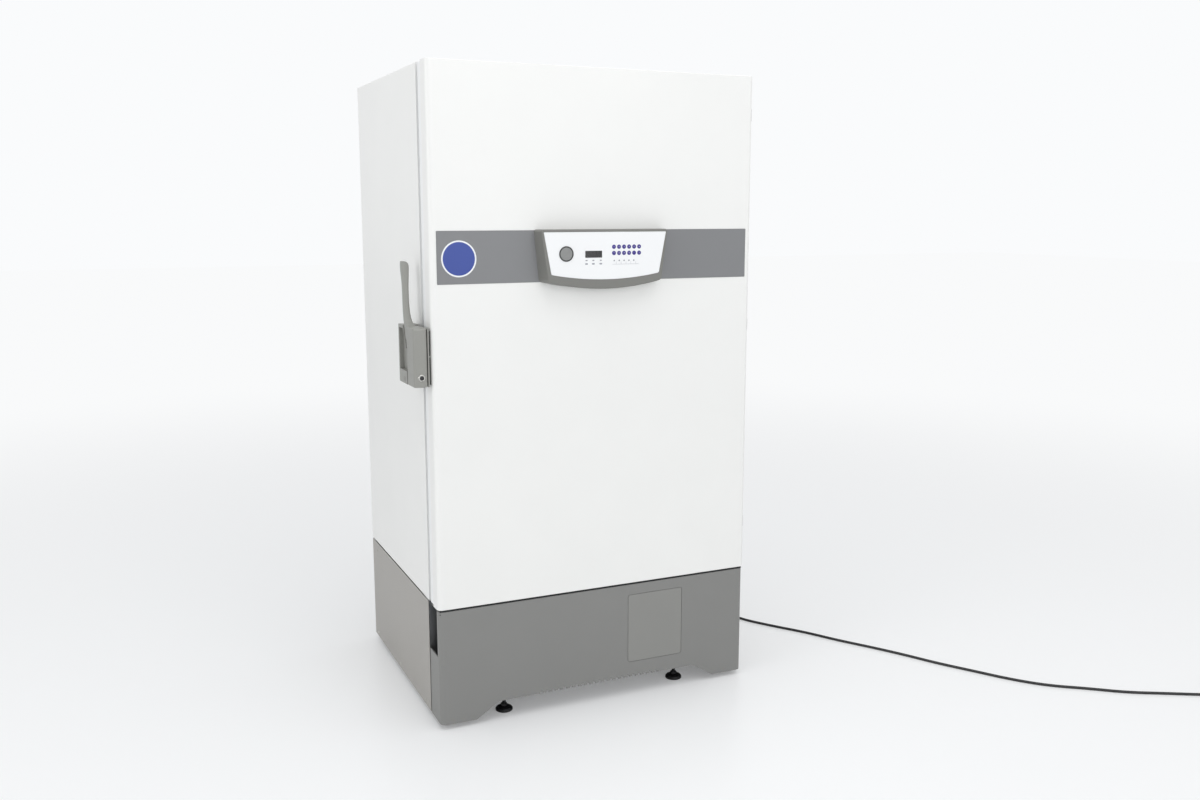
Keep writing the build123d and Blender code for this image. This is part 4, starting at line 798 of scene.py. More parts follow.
for x0, z0, x1, z1 in segments:
    bar = block("bar", (x0, plate_y - 0.00068, z0), (x1, plate_y - 0.0005, z1))
    roll(bar, along(1), line * 0.4, 1)
    bars.append(bar)
fit(joined("display_figures", bars), "door", "display_dark", unlit)

# Alarm sounder: a round moulded grille with a dark rim and fine rings of slots, pressed
# into the front plate.
dark_rim = coating("sounder_rim", (60, 61, 60), 0.5, grain=0.0008, depth=0.2, mottle=0.04)
sounder_grey = coating("sounder_grille", (150, 151, 150), 0.5, grain=0.0007, depth=0.2, mottle=0.05)
sounder_spot = (middle_x - 0.128, plate_y, 1.4235)
stations = ((0.0, 0.0225), (0.0014, 0.0225), (0.0020, 0.0219), (0.0020, 0.0196), (0.0010, 0.0190))
ring = turned("sounder_ring", sounder_spot, forward, stations, 72)
fit(ring, "door", "sounder_grey", dark_rim, "alarm_sounder")
stations = [(0.0011, 0.0188), (0.0016, 0.0180)]
for number in range(6):
    reach = 0.0180 - number * 0.0026
    for depth, inward in ((0.0017, 0.0004), (0.0007, 0.0007), (0.0007, 0.0018), (0.0017, 0.0021)):
        stations.append((depth, reach - inward))
grille = turned("sounder_face", sounder_spot, forward, stations, 72)
fit(grille, "door", "sounder_grey", sounder_grey)

# Latch handle's housing: a hollow grey moulding on the door's left edge, with a rimmed
# recess in its outer face, black pads against the door, and the cap of the pivot pin. The
# pads' black is also painted shade for the gap between the housing and the door.
handle_finish = coating("handle_plastic", (146, 146, 141), 0.42, grain=0.0009, depth=0.22, mottle=0.02)
refined("handle_housing", "handle_base", 0.0011, "door", handle_finish, 3)
house_low, house_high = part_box("handle_base")
pivot = (house_low.x, pan_low.y + 0.109, 1.063)
stations = (
    (-0.001, 0.0078), (0.0006, 0.0078), (0.0012, 0.0072), (0.0012, 0.0056),
    (0.0003, 0.0052), (0.0003, 0.003),
)
fit(turned("pivot_cap", pivot, left, stations, 40, 0.0002), "door", "handle_grey", handle_finish)
# This black rubber finish is real on the seals, mounts and pads, and is also painted shade: in the gap
# between the handle housing and the door, and inside the base's finger notch.
black_rubber_and_painted_shade = coating("pad_rubber_and_painted_shade", (26, 26, 27), 0.6, grain=0.001, depth=0.2, mottle=0.1)
pads = []
# The pads fill the gap beside the door, and their black paints the shade in it.
for z0, z1 in ((house_low.z + 0.0055, house_low.z + 0.086), (house_low.z + 0.0875, house_high.z - 0.0095)):
    pad_low = (pan_low.x - 0.0061, pan_low.y + 0.0095, z0)
    pad = block("pad", pad_low, (pan_low.x - 0.0002, pan_low.y + 0.046, z1))
    soften(pad, 0.0024, 4)
    pads.append(pad)
fit(joined("handle_pads", pads), "door", "black_plastic", black_rubber_and_painted_shade)

# Latch handle's grip and lever: one moulding that swings on the pivot. The grip has a
# rounded front, and the lever flares out of its top, thins to a neck and ends in a paddle.
grip_low, grip_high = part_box("handle_lever")
grip_top = 1.220
outer_x, front_y, rear_y = grip_low.x + 0.001, grip_low.y, pan_low.y
grip = block("grip", (outer_x, front_y, grip_low.z), (grip_high.x, front_y + 0.074, grip_top))


def at_front(edge):
    """Whether an edge is an upright or the top one of the grip's front."""
    ahead = all(v.co.y < front_y + 0.001 for v in edge.verts)
    return ahead and (along(2)(edge) or edge.verts[0].co.z > grip_top - 0.001)


roll(grip, at_front, 0.009, 8)
soften(grip, 0.0025, 3, 25)
wedge = block("wedge", (outer_x, rear_y + 0.056, 1.154), (outer_x + 0.026, rear_y + 0.094, 1.2195))
pick(wedge, "VERT", lambda v: v.co.z < 1.155 and v.co.y > rear_y + 0.090)
shift(0.0, -0.018, 0.0)
soften(wedge, 0.0025)
stations = (
    (1.212, 0.0310, 0.1000, 0.0420),
    (1.2185, 0.0272, 0.1035, 0.0370),
    (1.226, 0.0234, 0.1075, 0.0310),
    (1.238, 0.0200, 0.1125, 0.0265),
    (1.256, 0.0180, 0.1160, 0.0240),
    (1.285, 0.0170, 0.1184, 0.0228),
    (1.330, 0.0168, 0.1195, 0.0228),
    (1.352, 0.0182, 0.1235, 0.0256),
    (1.374, 0.0206, 0.1290, 0.0296),
    (1.390, 0.0216, 0.1314, 0.0310),
    (1.3985, 0.0200, 0.1306, 0.0286),
    (1.4030, 0.0160, 0.1284, 0.0232),
    (1.4050, 0.0100, 0.1250, 0.0150),
)
wide, back, deep, foot_z = 0.0265, 0.094, 0.038, 1.190
foot_low = (outer_x, rear_y + back - deep, foot_z - 0.014)
lever = block("lever", foot_low, (outer_x + wide, rear_y + back, foot_z))
pick(lever, "FACE", lambda face: face.normal.z > 0.9)
spot = Vector((outer_x + wide / 2, rear_y + back - deep / 2, foot_z))
for z, new_wide, new_back, new_deep in stations:
    proud = 0.001 if z > 1.36 else 0.0
    goal = Vector((outer_x - proud + new_wide / 2, rear_y + new_back - new_deep / 2, z))
    draw(*(goal - spot))
    resize(new_wide / wide, new_deep / deep, 1.0, tuple(goal))
    spot, wide, deep = goal, new_wide, new_deep
roll(lever, lambda edge: abs((edge.verts[1].co - edge.verts[0].co).z) > 0.0015, 0.0052, 3)
apply(lever, "SUBSURF", levels=2, render_levels=2)
bpy.ops.object.shade_smooth()

# Hook: a stout bar behind the grip that carries the pivot's boss and reaches over the
# keeper's pin.
hook_x0, hook_x1 = outer_x + 0.024, outer_x + 0.034
bar = block("hook", (hook_x0, rear_y + 0.068, 1.0812), (hook_x1, grip_high.y, 1.0902))
pick(bar, "VERT", lambda v: v.co.y < rear_y + 0.070 and v.co.z > 1.085)
shift(0.0, 0.0, 0.009)
soften(bar, 0.0012)
finger = block("finger", (hook_x0, grip_high.y - 0.005, 1.0807), (hook_x1, grip_high.y, 1.0860))
soften(finger, 0.001)
web = block("web", (hook_x0 + 0.0003, rear_y + 0.066, 1.056), (hook_x1 - 0.0003, rear_y + 0.109, 1.0850))
soften(web, 0.001)
stations = ((0.0, 0.0074), (0.0, 0.008), (0.010, 0.008), (0.010, 0.0046))
boss = turned("boss", (hook_x0, *pivot[1:]), right, stations, 40, 0.0004)
swinging = joined("grip_and_lever", [grip, wedge, lever, bar, finger, web, boss])
fit(swinging, "handle", "handle_grey", handle_finish, "handle_lever")

# Key lock: a polished, nickel-plated round barrel in the grip's front, with a dark plate
# round its keyway. The keyway is a dark bar on the plate: painted shade for the open slot.
low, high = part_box("lock_cylinder")
x, y, z = (low.x + high.x) / 2, low.y, (low.z + high.z) / 2
stations = (
    (0.034, 0.0098), (0.003, 0.0098), (0.0008, 0.0098), (0.0, 0.009),
    (0.0, 0.0066), (0.0012, 0.0062), (0.0012, 0.004),
)
barrel = turned("lock_barrel", (x, y, z), backward, stations, 56)
fit(barrel, "lock", "bright_steel", nickel, "lock_cylinder")
dark_plate_and_keyway_shade = coating("blackened_plate_and_keyway_shade", (34, 34, 36), 0.3, grain=0.0007, depth=0.1, mottle=0.1)
stations = ((0.0016, 0.0060), (0.0006, 0.0060), (0.0004, 0.0056), (0.0004, 0.003))
key_plate = turned("key_plate", (x, y, z), backward, stations, 40)
# Keyway: a dark bar, painted shade for the inside of the slot.
keyway_shade_bar = block("keyway_shade_bar", (x - 0.0009, y - 0.0002, z - 0.0045), (x + 0.0009, y + 0.001, z + 0.0045))
soften(keyway_shade_bar, 0.0004)
fit(joined("keyway", [key_plate, keyway_shade_bar]), "lock", "bright_steel", dark_plate_and_keyway_shade)

# Base side sheets: folded steel in a warm light grey, with a finger notch at the front
# edge, screwed to the frame with cross recessed screws.
base_paint = coating("base_paint", (160, 157, 152), 0.4, grain=0.0014, depth=0.1, mottle=0.015)
refined("base_side_sheets", "base_side_panels", 0.0012, "cabinet", base_paint)
zinc = coating("zinc_plate", (196, 196, 190), 0.3, grain=0.0006, depth=0.1, mottle=0.08, metal=1.0)
stations = ((-0.001, 0.0046), (0.0006, 0.0046), (0.0014, 0.0038), (0.0018, 0.0022))
screw = turned("screw", origin, up, stations, 28)
cross_half, slot_half = 0.0026, 0.0005
cross = joined("cross", [
    block("cut", (-wide, -tall, 0.0008), (wide, tall, 0.0052))
    for wide, tall in ((cross_half, slot_half), (slot_half, cross_half))
])
apply(screw, "BOOLEAN", object=cross, operation="DIFFERENCE", solver="EXACT", use_self=True)
bpy.data.objects.remove(cross)
side_low, side_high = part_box("base_side_panels")
screws = [
    moved(screw, (side_x, pan_low.y + deep, tall), way)
    for side_x, way in ((side_low.x, left), (side_high.x, right))
    for deep, tall in ((0.164, 0.034), (0.476, 0.034), (0.793, 0.034), (0.782, 0.347))
]
fit(joined("side_screws", screws), "cabinet", "bright_steel", zinc, "base_screws")

# Front cover of the base: grey moulding with an arch and a toothed air intake along its
# lower edge, and a recess where a chart recorder can go. A strip seals its upper edge.
cover_plastic = coating("cover_plastic", (130, 130, 128), 0.45, grain=0.0011, depth=0.18, mottle=0.015)
cover = copied("cover_moulding", "front_cover")
arch_half, arch_top, arch_roll = 0.3474, 0.0567, 0.026


def arch_corner(edge):
    """Whether an edge runs front to back at one of the upper corners of the arch."""
    spot = (edge.verts[0].co + edge.verts[1].co) / 2
    aside, above = abs(spot.x - middle_x) - arch_half, spot.z - arch_top
    return along(1)(edge) and abs(aside) < 0.002 and abs(above) < 0.002


roll(cover, arch_corner, arch_roll, 8)
soften(cover, 0.0022)
fit(cover, "cover", "cover_grey", cover_plastic, "front_cover")
low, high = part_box("front_cover")
seal_low = (low.x + 0.004, low.y + 0.004, high.z - 0.001)
seal = block("cover_seal", seal_low, (high.x - 0.004, low.y + 0.011, high.z + 0.0042))
soften(seal, 0.0012)
fit(seal, "cover", "black_plastic", black_rubber_and_painted_shade)

# Finger notch: a pocket behind the opening in the cover's left return, with a sill that
# slants down to the outside. The pocket's wall and roof are black: painted shade for the
# dark inside of the notch.
notch_x, pocket_x = low.x + 0.0034, low.x + 0.0125
notch_y, pocket_rear = low.y + 0.004, -0.3686
wall_end = (pocket_x + sheet_thickness, pocket_rear, high.z - 0.003)
pocket = block("pocket_wall", (pocket_x, notch_y, 0.196), wall_end)
soften(pocket, 0.0005, 2)
roof = block("pocket_roof", (notch_x, notch_y, high.z - 0.0085), (pocket_x, pocket_rear, high.z - 0.0065))
soften(roof, 0.0005, 2)
fit(joined("pocket_shade_lining", [pocket, roof]), "cover", "black_plastic", black_rubber_and_painted_shade)
sill = block("pocket_sill", (notch_x, notch_y, 0.200), (pocket_x, pocket_rear, 0.214))
pick(sill, "VERT", lambda v: v.co.z > 0.21 and v.co.x < pocket_x - 0.001)
shift(0.0, 0.0, -0.010)
soften(sill, 0.0006, 2)
fit(sill, "cover", "cover_grey", cover_plastic)

# Recorder blank: a flat moulded grey plate with round corners that fills the cover's
# recess, a hair line clear of its edge.
blank_plastic = coating("blank_plastic", (137, 137, 134), 0.42, grain=0.0011, depth=0.18, mottle=0.015)
low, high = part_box("recorder_blank")
shadow_gap, plate_roll = Vector((0.0009, 0.0, 0.0009)), 0.008
recorder_plate = block("recorder_plate", low + shadow_gap, high - shadow_gap)
roll(recorder_plate, along(1), plate_roll, 8)
soften(recorder_plate, 0.0007, 2)
fit(recorder_plate, "cover", "blank_grey", blank_plastic, "recorder_blank")

# Frame: welded square tube and folded sills, galvanised, under a steel deck that carries
# the cooling plant.
galvanised = coating("galvanised", (172, 175, 177), 0.42, grain=0.004, depth=0.12, mottle=0.12, metal=1.0)
refined("welded_frame", "base_frame", 0.0012, "cabinet", galvanised)

# Casters: pressed steel plates and forks, each with a hard grey tyre on a moulded hub.
# The front pair swivels on its kingpins and the rear pair is fixed.
tyre_rubber = coating("tyre_rubber", (62, 62, 64), 0.6, grain=0.0011, depth=0.3, mottle=0.06)
hub_plastic = coating("hub_plastic", (28, 28, 30), 0.4, grain=0.0009, depth=0.15, mottle=0.05)
refined("caster_plates", "caster_mounts", 0.0007, "cabinet", zinc)
for side in ("left", "right"):
    refined(f"fork_{side}", f"caster_fork_{side}", 0.0007, f"caster_{side}", zinc)
low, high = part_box("front_wheel_left")
tyre_half = ((0.0030, 0.0250), (0.0022, 0.0262), (0.0020, 0.0285), (0.0036, 0.0330), (0.0064, 0.0350))
hub_half = (
    (0.0, 0.0088), (0.0, 0.0118), (0.0010, 0.0130), (0.0048, 0.0136),
    (0.0062, 0.0150), (0.0062, 0.0216), (0.0040, 0.0236), (0.0034, 0.0256),
)
patterns = []
for name, half in (("tyre", tyre_half), ("hub", hub_half)):
    stations = half + tuple((high.x - low.x - reach, radius) for reach, radius in reversed(half))
    patterns.append(turned(name, origin, right, stations))
tyre, hub = patterns
for side in ("left", "right"):
    for end in ("front", "rear"):
        node = f"{end}_wheel_{side}"
        low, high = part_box(node)
        spot = (low.x, (low.y + high.y) / 2, (low.z + high.z) / 2)
        for name, pattern, finish, replaced in (
            ("tyre", tyre, tyre_rubber, (node,)),
            ("hub", hub, hub_plastic, ()),
        ):
            wheel = moved(pattern, spot)
            wheel.name = f"{name}_{end}_{side}"
            fit(wheel, node, "tread_grey", finish, *replaced)
for pattern in patterns:
    bpy.data.objects.remove(pattern)

# Levelling feet: a threaded stem in a round pad, with a lock nut, screwed down in front of
# the casters to take the weight.
stem_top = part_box("levelling_foot_left")[1].z
stations = (
    (0.0, 0.0240), (0.0, 0.0262), (0.0012, 0.0270), (0.0060, 0.0270),
    (0.0095, 0.0240), (0.0114, 0.0140), (0.0120, 0.0090),
)
pad = turned("pad", origin, up, stations)
thread = [(0.0115, 0.0057)]
while thread[-1][0] < stem_top - 0.004:
    start = thread[-1][0]
    for rise, radius in ((0.0008, 0.0051), (0.0010, 0.0051), (0.0018, 0.0057), (0.0020, 0.0057)):
        thread.append((start + rise, radius))
stem = turned("stem", origin, up, [*thread, (stem_top, 0.0048)], 32)
nut = turned("nut", origin, up, ((0.0150, 0.0102), (0.0157, 0.0109), (0.0213, 0.0109), (0.0220, 0.0102)), 6)
pattern = joined("foot", [pad, stem, nut])
for side in ("left", "right"):
    low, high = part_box(f"levelling_foot_{side}")
    foot = moved(pattern, ((low.x + high.x) / 2, (low.y + high.y) / 2, 0.0))
    foot.name = f"foot_{side}"
    fit(foot, f"foot_{side}", "black_plastic", hub_plastic, f"levelling_foot_{side}")
bpy.data.objects.remove(pattern)

# Air filter: woven black mesh in a moulded frame with upright bars, in front of the
# condenser.
frame_black = coating("frame_black", (30, 30, 31), 0.5, grain=0.0012, depth=0.2, mottle=0.05)
low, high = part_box("air_filter")
rail_width, bar_half, mesh_edge = 0.011, 0.003, 0.010
filter_frame = block("filter_frame", low, high)
opened(filter_frame, rail_width)
soften(filter_frame, 0.0014)
bar_low = (-bar_half, low.y + 0.001, low.z + 0.008)
bar = block("bar", bar_low, (bar_half, high.y - 0.001, high.z - 0.008))
soften(bar, 0.001, 2)
bars = copies(bar, [(low.x + (high.x - low.x) * number / 4, 0.0, 0.0) for number in range(1, 4)])
fit(joined("filter_frame", [filter_frame, *bars]), "cabinet", "filter_mesh", frame_black, "air_filter")
rest()
bpy.ops.mesh.primitive_grid_add(
    x_subdivisions=92,
    y_subdivisions=32,
    size=1.0,
    location=(low + high) / 2,
    rotation=(math.pi / 2, 0.0, 0.0),
)
weave = bpy.context.object
weave.name = "filter_weave"
weave.scale = (high.x - low.x - 2 * mesh_edge, high.z - low.z - 2 * mesh_edge, 1.0)
bpy.ops.object.transform_apply()
apply(weave, "WIREFRAME", thickness=0.0011, use_even_offset=False)
fit(weave, "cabinet", "filter_mesh", frame_black)


# Condenser: two rows of copper tube with thin aluminium fins between two end plates of the
# same metal. The tubes turn back on themselves outside the end plates.
def piped(name, points, radius, turn, sides):
    """Round tube through corner points: a disc drawn along each run and spun round each bend."""
    places = [Vector(point) for point in points]
    way = (places[1] - places[0]).to_track_quat("Z", "Y").to_euler()
    piece = disc(name, sides, radius, places[0], way)
    here = places[0]
    for before, corner, after in zip(places, places[1:], places[2:]):
        into, out = (corner - before).normalized(), (after - corner).normalized()
        sweep = into.angle(out)
        goal = corner - into * turn * math.tan(sweep / 2)
        axis = into.cross(out).normalized()
        centre = goal + axis.cross(into) * turn
        if (goal - here).length > 0.00001:
            draw(*(goal - here))
        bpy.ops.mesh.spin(steps=8, angle=-sweep, center=tuple(centre), axis=tuple(axis))
        here = corner + out * turn * math.tan(sweep / 2)
    draw(*(places[-1] - here))
    face_out(piece)
    smooth(piece, weighted=False)
    return piece


aluminium = coating("aluminium_fin", (200, 203, 206), 0.35, grain=0.0015, depth=0.1, mottle=0.06, metal=1.0)
copper = coating("copper_tube", (206, 128, 92), 0.28, grain=0.003, depth=0.05, mottle=0.1, metal=1.0)
core_low, core_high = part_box("condenser")
fin_pitch = 0.0042
fin_foot = core_low + Vector((0.003, 0.001, 0.002))
fin = block("fin", fin_foot, (core_low.x + 0.0033, core_high.y - 0.001, core_high.z - 0.002))
pick(fin, "FACE", lambda face: face.normal.y < -0.9)
shift(0.0006, 0.0, 0.0)
apply(
    fin,
    "ARRAY",
    count=int((core_high.x - core_low.x - 0.006) / fin_pitch),
    use_relative_offset=False,
    use_constant_offset=True,
    constant_offset_displace=(fin_pitch, 0.0, 0.0),
)
end_plate = block("end_plate", core_low, (core_low.x + 0.0015, core_high.y, core_high.z))
soften(end_plate, 0.0005, 2)
ends = copies(end_plate, (origin, (core_high.x - 0.0015 - core_low.x, 0.0, 0.0)))
fit(joined("condenser_fins", [fin, *ends]), "cabinet", "aluminium_fin", aluminium, "condenser")
tube_gap = (core_high.z - core_low.z) / 8
tube_radius, tube_bend = 0.0042, tube_gap / 2 * 0.999
near, far = core_low.x - 0.004, core_high.x + 0.004
run = ((near, 0, 0), (far, 0, 0), (far, 0, tube_gap), (near, 0, tube_gap))
link = ((near + 0.002, 0, -tube_gap), (near, 0, -tube_gap), (near, 0, 0), (near + 0.002, 0, 0))
tube_spots = [
    (0.0, y, core_low.z + (number + 0.5) * tube_gap)
    for y in ((core_low.y * 3 + core_high.y) / 4, (core_low.y + core_high.y * 3) / 4)
    for number in (0, 2, 4, 6)
]
tubes = copies(piped("tube", run, tube_radius, tube_bend, 12), tube_spots)
tubes += copies(piped("tube", link, tube_radius, tube_bend, 12), tube_spots[1:4] + tube_spots[5:])
fit(joined("condenser_tubes", tubes), "cabinet", "copper", copper)


# Fan: a sheet shroud behind the condenser, a motor with cooling ribs on two arms, and a
# moulded rotor with five twisted blades.
def ringed(piece, count):
    """Copies of a piece in a ring round the fan's shaft, in place of the piece itself."""
    twins = copies(piece, [origin] * count)
    for step, twin in enumerate(twins):
        turn = Matrix.Rotation(math.tau * step / count, 4, "Y")
        twin.data.transform(Matrix.Translation(shaft) @ turn @ Matrix.Translation(-shaft))
    return twins


refined("shroud", "fan_shroud", 0.001, "cabinet", galvanised)
refined("motor", "fan_motor", 0.0012, "cabinet", frame_black, 3)
motor_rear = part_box("fan_motor")[1].y
rotor_low, rotor_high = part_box("fan_rotor")
shaft_z = 0.247
x, y, z = middle_x, (rotor_low.y + rotor_high.y) / 2, shaft_z
shaft = Vector((x, y, z))
rib_low = (x - 0.0012, motor_rear - 0.060, z + 0.0370)
rib = block("rib", rib_low, (x + 0.0012, motor_rear - 0.008, z + 0.0395))
soften(rib, 0.0005, 2)
fit(joined("motor_ribs", ringed(rib, 24)), "cabinet", "black_plastic", frame_black)
blade = block("blade", (x - 0.013, y - 0.0011, z + 0.0225), (x + 0.013, y + 0.0011, z + 0.0245))
pick(blade, "FACE")
bpy.ops.transform.rotate(value=math.radians(36), orient_axis="Z", center_override=(x, y, z))
pick(blade, "FACE", lambda face: face.normal.z > 0.9)
blade_root, blade_step = z + 0.0245, 0.0079
for step in range(8):
    draw(0.0008, 0.0, blade_step)
    spot = (x, y, blade_root + blade_step * (step + 1))
    bpy.ops.transform.rotate(value=math.radians(-1.8), orient_axis="Z", center_override=spot)
    swell = 1.05 if step < 5 else 0.93
    resize(swell, swell, 1.0, spot)
apply(blade, "BEVEL", width=0.0008, segments=2, limit_method="ANGLE", angle_limit=math.radians(50))
smooth(blade, weighted=False)
depth = rotor_high.y - rotor_low.y
stations = (
    (0.0, 0.022), (0.0, 0.0245), (0.0016, 0.026), (depth - 0.0016, 0.026), (depth, 0.0245), (depth, 0.010),
)
hub = turned("rotor_hub", (x, rotor_low.y, z), backward, stations)
fit(joined("rotor", [hub, *ringed(blade, 5)]), "rotor", "fan_black", frame_black, "fan_rotor")

# Compressors: two welded steel shells, each with a seam round its middle, a terminal cover
# and a foot plate on rubber pads.
shell_paint = coating("shell_paint", (24, 24, 25), 0.3, grain=0.002, depth=0.25, mottle=0.1)
drums_low, drums_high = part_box("compressors")
drum_y, base_z = (drums_low.y + drums_high.y) / 2, drums_low.z
drum_reach, riser_reach = 0.210, 0.070
stations = (
    (0.0100, 0.0500), (0.0110, 0.0760), (0.0160, 0.0860), (0.0260, 0.0915), (0.0300, 0.0920),
    (0.0860, 0.0920), (0.0864, 0.0938), (0.0900, 0.0945), (0.0936, 0.0938), (0.0940, 0.0905),
    (0.1440, 0.0905), (0.1560, 0.0890), (0.1680, 0.0835), (0.1780, 0.0735), (0.1850, 0.0590),
    (0.1885, 0.0400), (0.1900, 0.0180),
)
shell = turned("shell", origin, up, stations, 72)
foot = block("foot", (-0.110, -0.062, 0.006), (0.110, 0.062, 0.010))
roll(foot, along(2), 0.016, 6)
soften(foot, 0.0008, 2)
terminal = block("terminal", (-0.030, 0.078, 0.060), (0.030, 0.104, 0.112))
pick(terminal, "FACE", lambda face: face.normal.y > 0.9)
resize(0.86, 1.0, 0.86, (0.0, 0.104, 0.086))
soften(terminal, 0.003)
stations = ((0.0, 0.011), (0.004, 0.0095), (0.006, 0.0075), (0.008, 0.0065))
stub = turned("stub", (0.0, 0.0, 0.186), up, stations, 24)
drum_spots = [(middle_x + side * drum_reach, drum_y, base_z) for side in (-1, 1)]
drums = copies(joined("drum", [shell, foot, terminal, stub]), drum_spots)
stations = (
    (0.0, 0.0090), (0.0, 0.0098), (0.0015, 0.0100), (0.0022, 0.0082),
    (0.0040, 0.0082), (0.0048, 0.0098), (0.0062, 0.0095),
)
rubber = turned("rubber", origin, up, stations, 24)
stations = ((0.009, 0.0062), (0.0104, 0.0066), (0.0144, 0.0066), (0.0152, 0.0058))
bolt = turned("bolt", origin, up, stations, 6)
pad_spots = [
    (x + reach, y + deep, z)
    for x, y, z in drum_spots
    for reach in (-0.100, 0.100)
    for deep in (-0.052, 0.052)
]
rubbers = copies(joined("rubber", [rubber, bolt]), pad_spots)
fit(joined("compressor_pair", drums), "cabinet", "compressor_black", shell_paint, "compressors")
fit(joined("compressor_pads", rubbers), "cabinet", "black_plastic", black_rubber_and_painted_shade)

# Refrigerant pipes: soft copper, bent by hand. Two run from the coil round to the
# compressors, and two rise from the compressors into the floor of the cabinet.
pipe_low, pipe_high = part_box("refrigerant_pipes")
pipe_radius = 0.005
coil_y, tube_z = (core_low.y + core_high.y) / 2, (core_low.z + core_high.z) / 2
wall_y = drum_y - 0.090
riser_y, riser_z = drum_y + 0.036, (drums_high.z + pipe_high.z) / 2
pipes = []
for side, core_x, outer in (
    (-1, core_low.x, pipe_low.x + pipe_radius),
    (1, core_high.x, pipe_high.x - pipe_radius),
):
    x, riser_x = middle_x + side * drum_reach, middle_x + side * riser_reach
    discharge = (
        (core_x - side * 0.003, coil_y, tube_z),
        (outer, coil_y, tube_z),
        (outer, wall_y - 0.050, tube_z),
        (x, wall_y - 0.050, tube_z),
        (x, wall_y, tube_z),
    )
    riser = (
        (x, drum_y, drums_high.z - 0.002),
        (x, drum_y, riser_z),
        (riser_x, riser_y, riser_z),
        (riser_x, riser_y, pipe_high.z),
    )
    for points, bend in ((discharge, 0.018), (riser, 0.016)):
        pipes.append(piped("pipe", points, pipe_radius, bend, 18))
fit(joined("pipework", pipes), "cabinet", "copper", copper, "refrigerant_pipes")

# Electronics box: folded and painted sheet steel on the deck, with louvres in its side
# and a lid held by four screws.
box_paint = coating("box_paint", (186, 188, 188), 0.4, grain=0.0014, depth=0.12, mottle=0.02)
refined("control_box", "electronics_box", 0.001, "cabinet", box_paint)
low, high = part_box("electronics_box")
louvre = block("louvre", (high.x - 0.001, 0.0, low.z + 0.070), (high.x + 0.004, 0.008, low.z + 0.130))
pick(louvre, "VERT", lambda v: v.co.x > high.x and v.co.y > 0.004)
shift(-0.0036, 0.0, 0.0)
soften(louvre, 0.0006, 2)
details = copies(louvre, [(0.0, low.y + 0.060 + number * 0.018, 0.0) for number in range(7)])
for y in (low.y + 0.012, high.y - 0.012):
    for x in (low.x + 0.012, high.x - 0.012):
        details.append(moved(screw, (x, y, high.z)))
fit(joined("box_details", details), "cabinet", "box_grey", box_paint)

# Rear grille: punched and painted sheet steel that closes the base at the back, held by
# six screws at its rim.
refined("grille_sheet", "rear_grille", 0.0004, "cabinet", base_paint, 1)
low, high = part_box("rear_grille")
screws = [
    moved(screw, (x, high.y, z), backward)
    for x in (low.x + 0.014, middle_x, high.x - 0.014)
    for z in (low.z + 0.014, high.z - 0.014)
]
bpy.data.objects.remove(screw)
fit(joined("grille_screws", screws), "cabinet", "bright_steel", zinc)

# Power switch: a black moulded housing clipped into the grille, with a curved rocker
# that tips about its middle.
refined("switch_frame", "switch_housing", 0.0008, "cabinet", frame_black)
rocker_finish = coating("rocker_plastic", (20, 20, 21), 0.25, grain=0.001, depth=0.08, mottle=0.1)
refined("rocker", "power_switch", 0.0006, "switch", rocker_finish, 3)

# Strain relief: black moulding on the rear sheet, a six-sided nut and a tapered ribbed
# sleeve round the lead.
lead_black = coating("lead_rubber", (24, 24, 25), 0.45, grain=0.0012, depth=0.15, mottle=0.08)
low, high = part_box("cord_gland")
gland_x, gland_z = 0.4425, 0.090
gland_spot = (gland_x, low.y, gland_z)
stations = ((0.0, 0.0138), (0.0008, 0.0149), (0.0052, 0.0149), (0.006, 0.0138), (0.006, 0.010))
nut = turned("gland_nut", gland_spot, backward, stations, 6, 0.0004)
stations = [(0.0055, 0.0098)]
for number in range(5):
    start, girth = 0.0075 + number * 0.0034, 0.0096 - number * 0.00065
    for rise, waist in ((0.0, 0.0), (0.0004, 0.0009), (0.0012, 0.0010), (0.0016, 0.0002)):
        stations.append((start + rise, girth - waist))
reach = high.y - low.y
stations += [(reach - 0.0006, 0.0062), (reach, 0.0057), (reach, 0.0047)]
sleeve = turned("gland_sleeve", gland_spot, backward, stations, 36)
strain_relief = joined("strain_relief", [nut, sleeve])
fit(strain_relief, "cabinet", "black_plastic", lead_black, "cord_gland")

# Mains plug: black rubber moulded round the lead's end, with grip ribs on its taper, two
# flat nickel blades and a round earth pin.
plug_body = block("plug_body", (0.024, -0.018, -0.011), (0.046, 0.018, 0.011))
pick(plug_body, "FACE", lambda face: face.normal.x < -0.9)
here_x, wide, tall = 0.024, 0.018, 0.011
grip = []
for number in range(4):
    start = 0.0222 - number * 0.0050
    for back, waist in ((0.0, 0.0), (0.0004, 0.0011), (0.0022, 0.0011), (0.0026, 0.0)):
        share = (start - back) / 0.024
        grip.append((start - back, 0.007 + 0.011 * share - waist, 0.007 + 0.004 * share - waist))
grip.append((0.0, 0.007, 0.007))
for new_x, new_wide, new_tall in grip:
    draw(new_x - here_x, 0.0, 0.0)
    resize(1.0, new_wide / wide, new_tall / tall, (new_x, 0.0, 0.0))
    here_x, wide, tall = new_x, new_wide, new_tall
roll(plug_body, lambda e: abs((e.verts[1].co - e.verts[0].co).x) > 0.3 * e.calc_length(), 0.0034, 4)
soften(plug_body, 0.0005, 2)
blade = block("blade", (0.045, -0.0008, -0.0002), (0.064, 0.0008, 0.0062))
roll(blade, lambda edge: along(1)(edge) and edge.verts[0].co.x > 0.060, 0.0014, 4)
soften(blade, 0.0003, 2)
blades = copies(blade, ((0.0, -0.00635, 0.0), (0.0, 0.00635, 0.0)))
stations = ((0.0, 0.0024), (0.0185, 0.0024), (0.0198, 0.0018), (0.0202, 0.0008))
blades.append(turned("earth_pin", (0.0458, 0.0, -0.006), right, stations, 24))
blade_set = joined("plug_blades", blades)
plug_spot, plug_turn = (2.016, -1.281, 0.011), math.atan2(-0.018, 0.036)
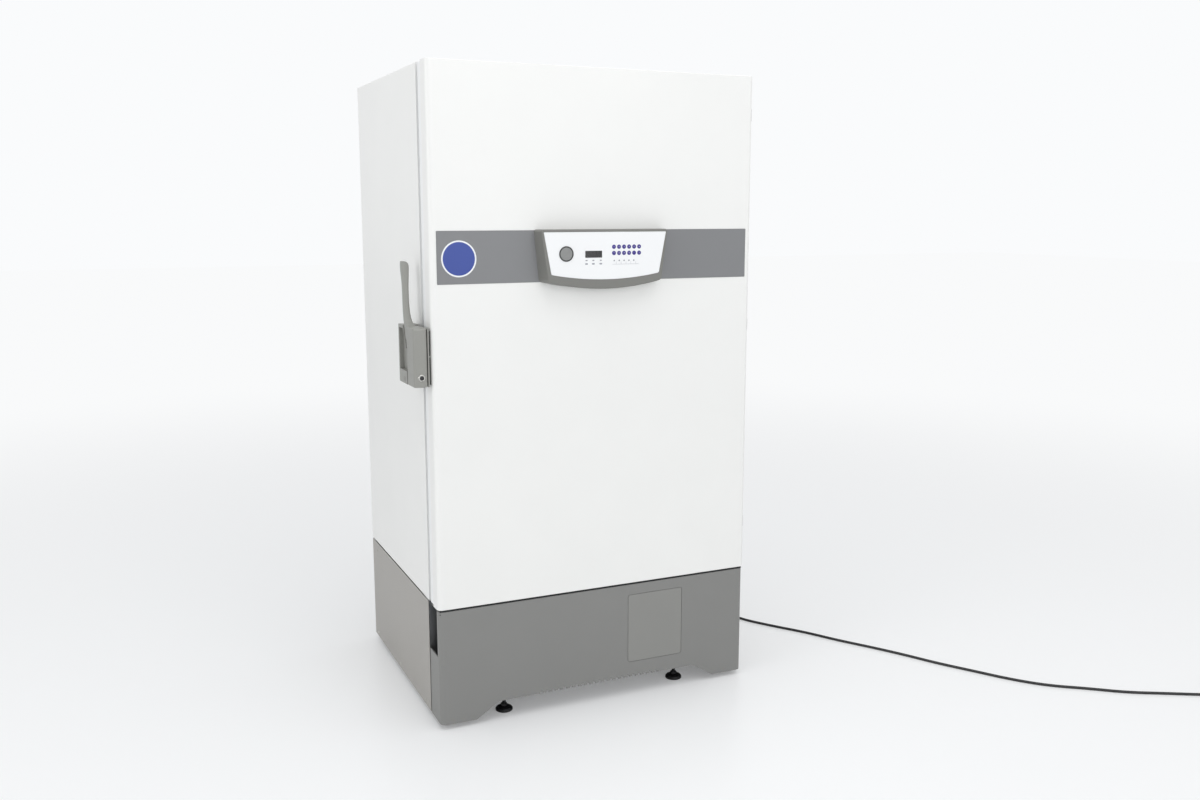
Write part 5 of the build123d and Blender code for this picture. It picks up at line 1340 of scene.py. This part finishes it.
for piece in (plug_body, blade_set):
    only(piece)
    piece.rotation_euler.z = plug_turn
    piece.location = plug_spot
    bpy.ops.object.transform_apply()
fit(plug_body, "cabinet", "black_plastic", lead_black, "power_plug")
fit(blade_set, "cabinet", "bright_steel", nickel)

# Mains lead: 3.3 m of round black rubber lead. It leaves the strain relief on the rear sheet,
# drops to the floor, wanders forward past the right side, and its far end is wound up.
lead_width = 0.009
lead_drop = (
    (gland_x, 0.456, gland_z), (0.443, 0.502, 0.087), (0.452, 0.554, 0.062), (0.474, 0.590, 0.028),
)
floor_route = (
    (0.516, 0.611), (0.574, 0.596), (0.640, 0.540), (0.690, 0.450), (0.724, 0.344), (0.753, 0.234),
    (0.774, 0.124), (0.806, 0.014), (0.874, -0.092), (0.948, -0.195), (1.008, -0.305), (1.079, -0.412),
    (1.143, -0.519), (1.195, -0.621), (1.261, -0.724), (1.327, -0.831), (1.402, -0.920), (1.500, -0.989),
    (1.595, -1.066), (1.702, -1.123), (1.806, -1.181), (1.860, -1.207),
)
coil_x, coil_y, coil_reach = 1.926, -1.185, 0.0491
turn_points, coil_start = 14, math.radians(244.5)
winding = []
for step in range(2 * turn_points + 1):
    angle = coil_start + math.tau * step / turn_points
    height = lead_width * (0.5 + step / turn_points)
    winding.append((coil_x + coil_reach * math.cos(angle), coil_y + coil_reach * math.sin(angle), height))
lead_tail = ((1.942, -1.2465, 0.0215), (1.980, -1.263, 0.014), plug_spot)
route = [*lead_drop, *((x, y, lead_width / 2) for x, y in floor_route), *winding, *lead_tail]
lead_curve = bpy.data.curves.new("mains_lead", "CURVE")
lead_curve.dimensions = "3D"
run = lead_curve.splines.new("NURBS")
run.points.add(len(route) - 1)
for point, place in zip(run.points, route):
    point.co = (*place, 1.0)
run.order_u = 3
run.use_endpoint_u = True
run.resolution_u = 8
lead_curve.bevel_depth = lead_width / 2
lead_curve.bevel_resolution = 5
lead_curve.use_fill_caps = True
lead_curve.materials.append(lead_black)
mains_lead = placed("mains_lead", lead_curve)
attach(mains_lead, "cabinet")
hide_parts("power_cord", "cord_coil")
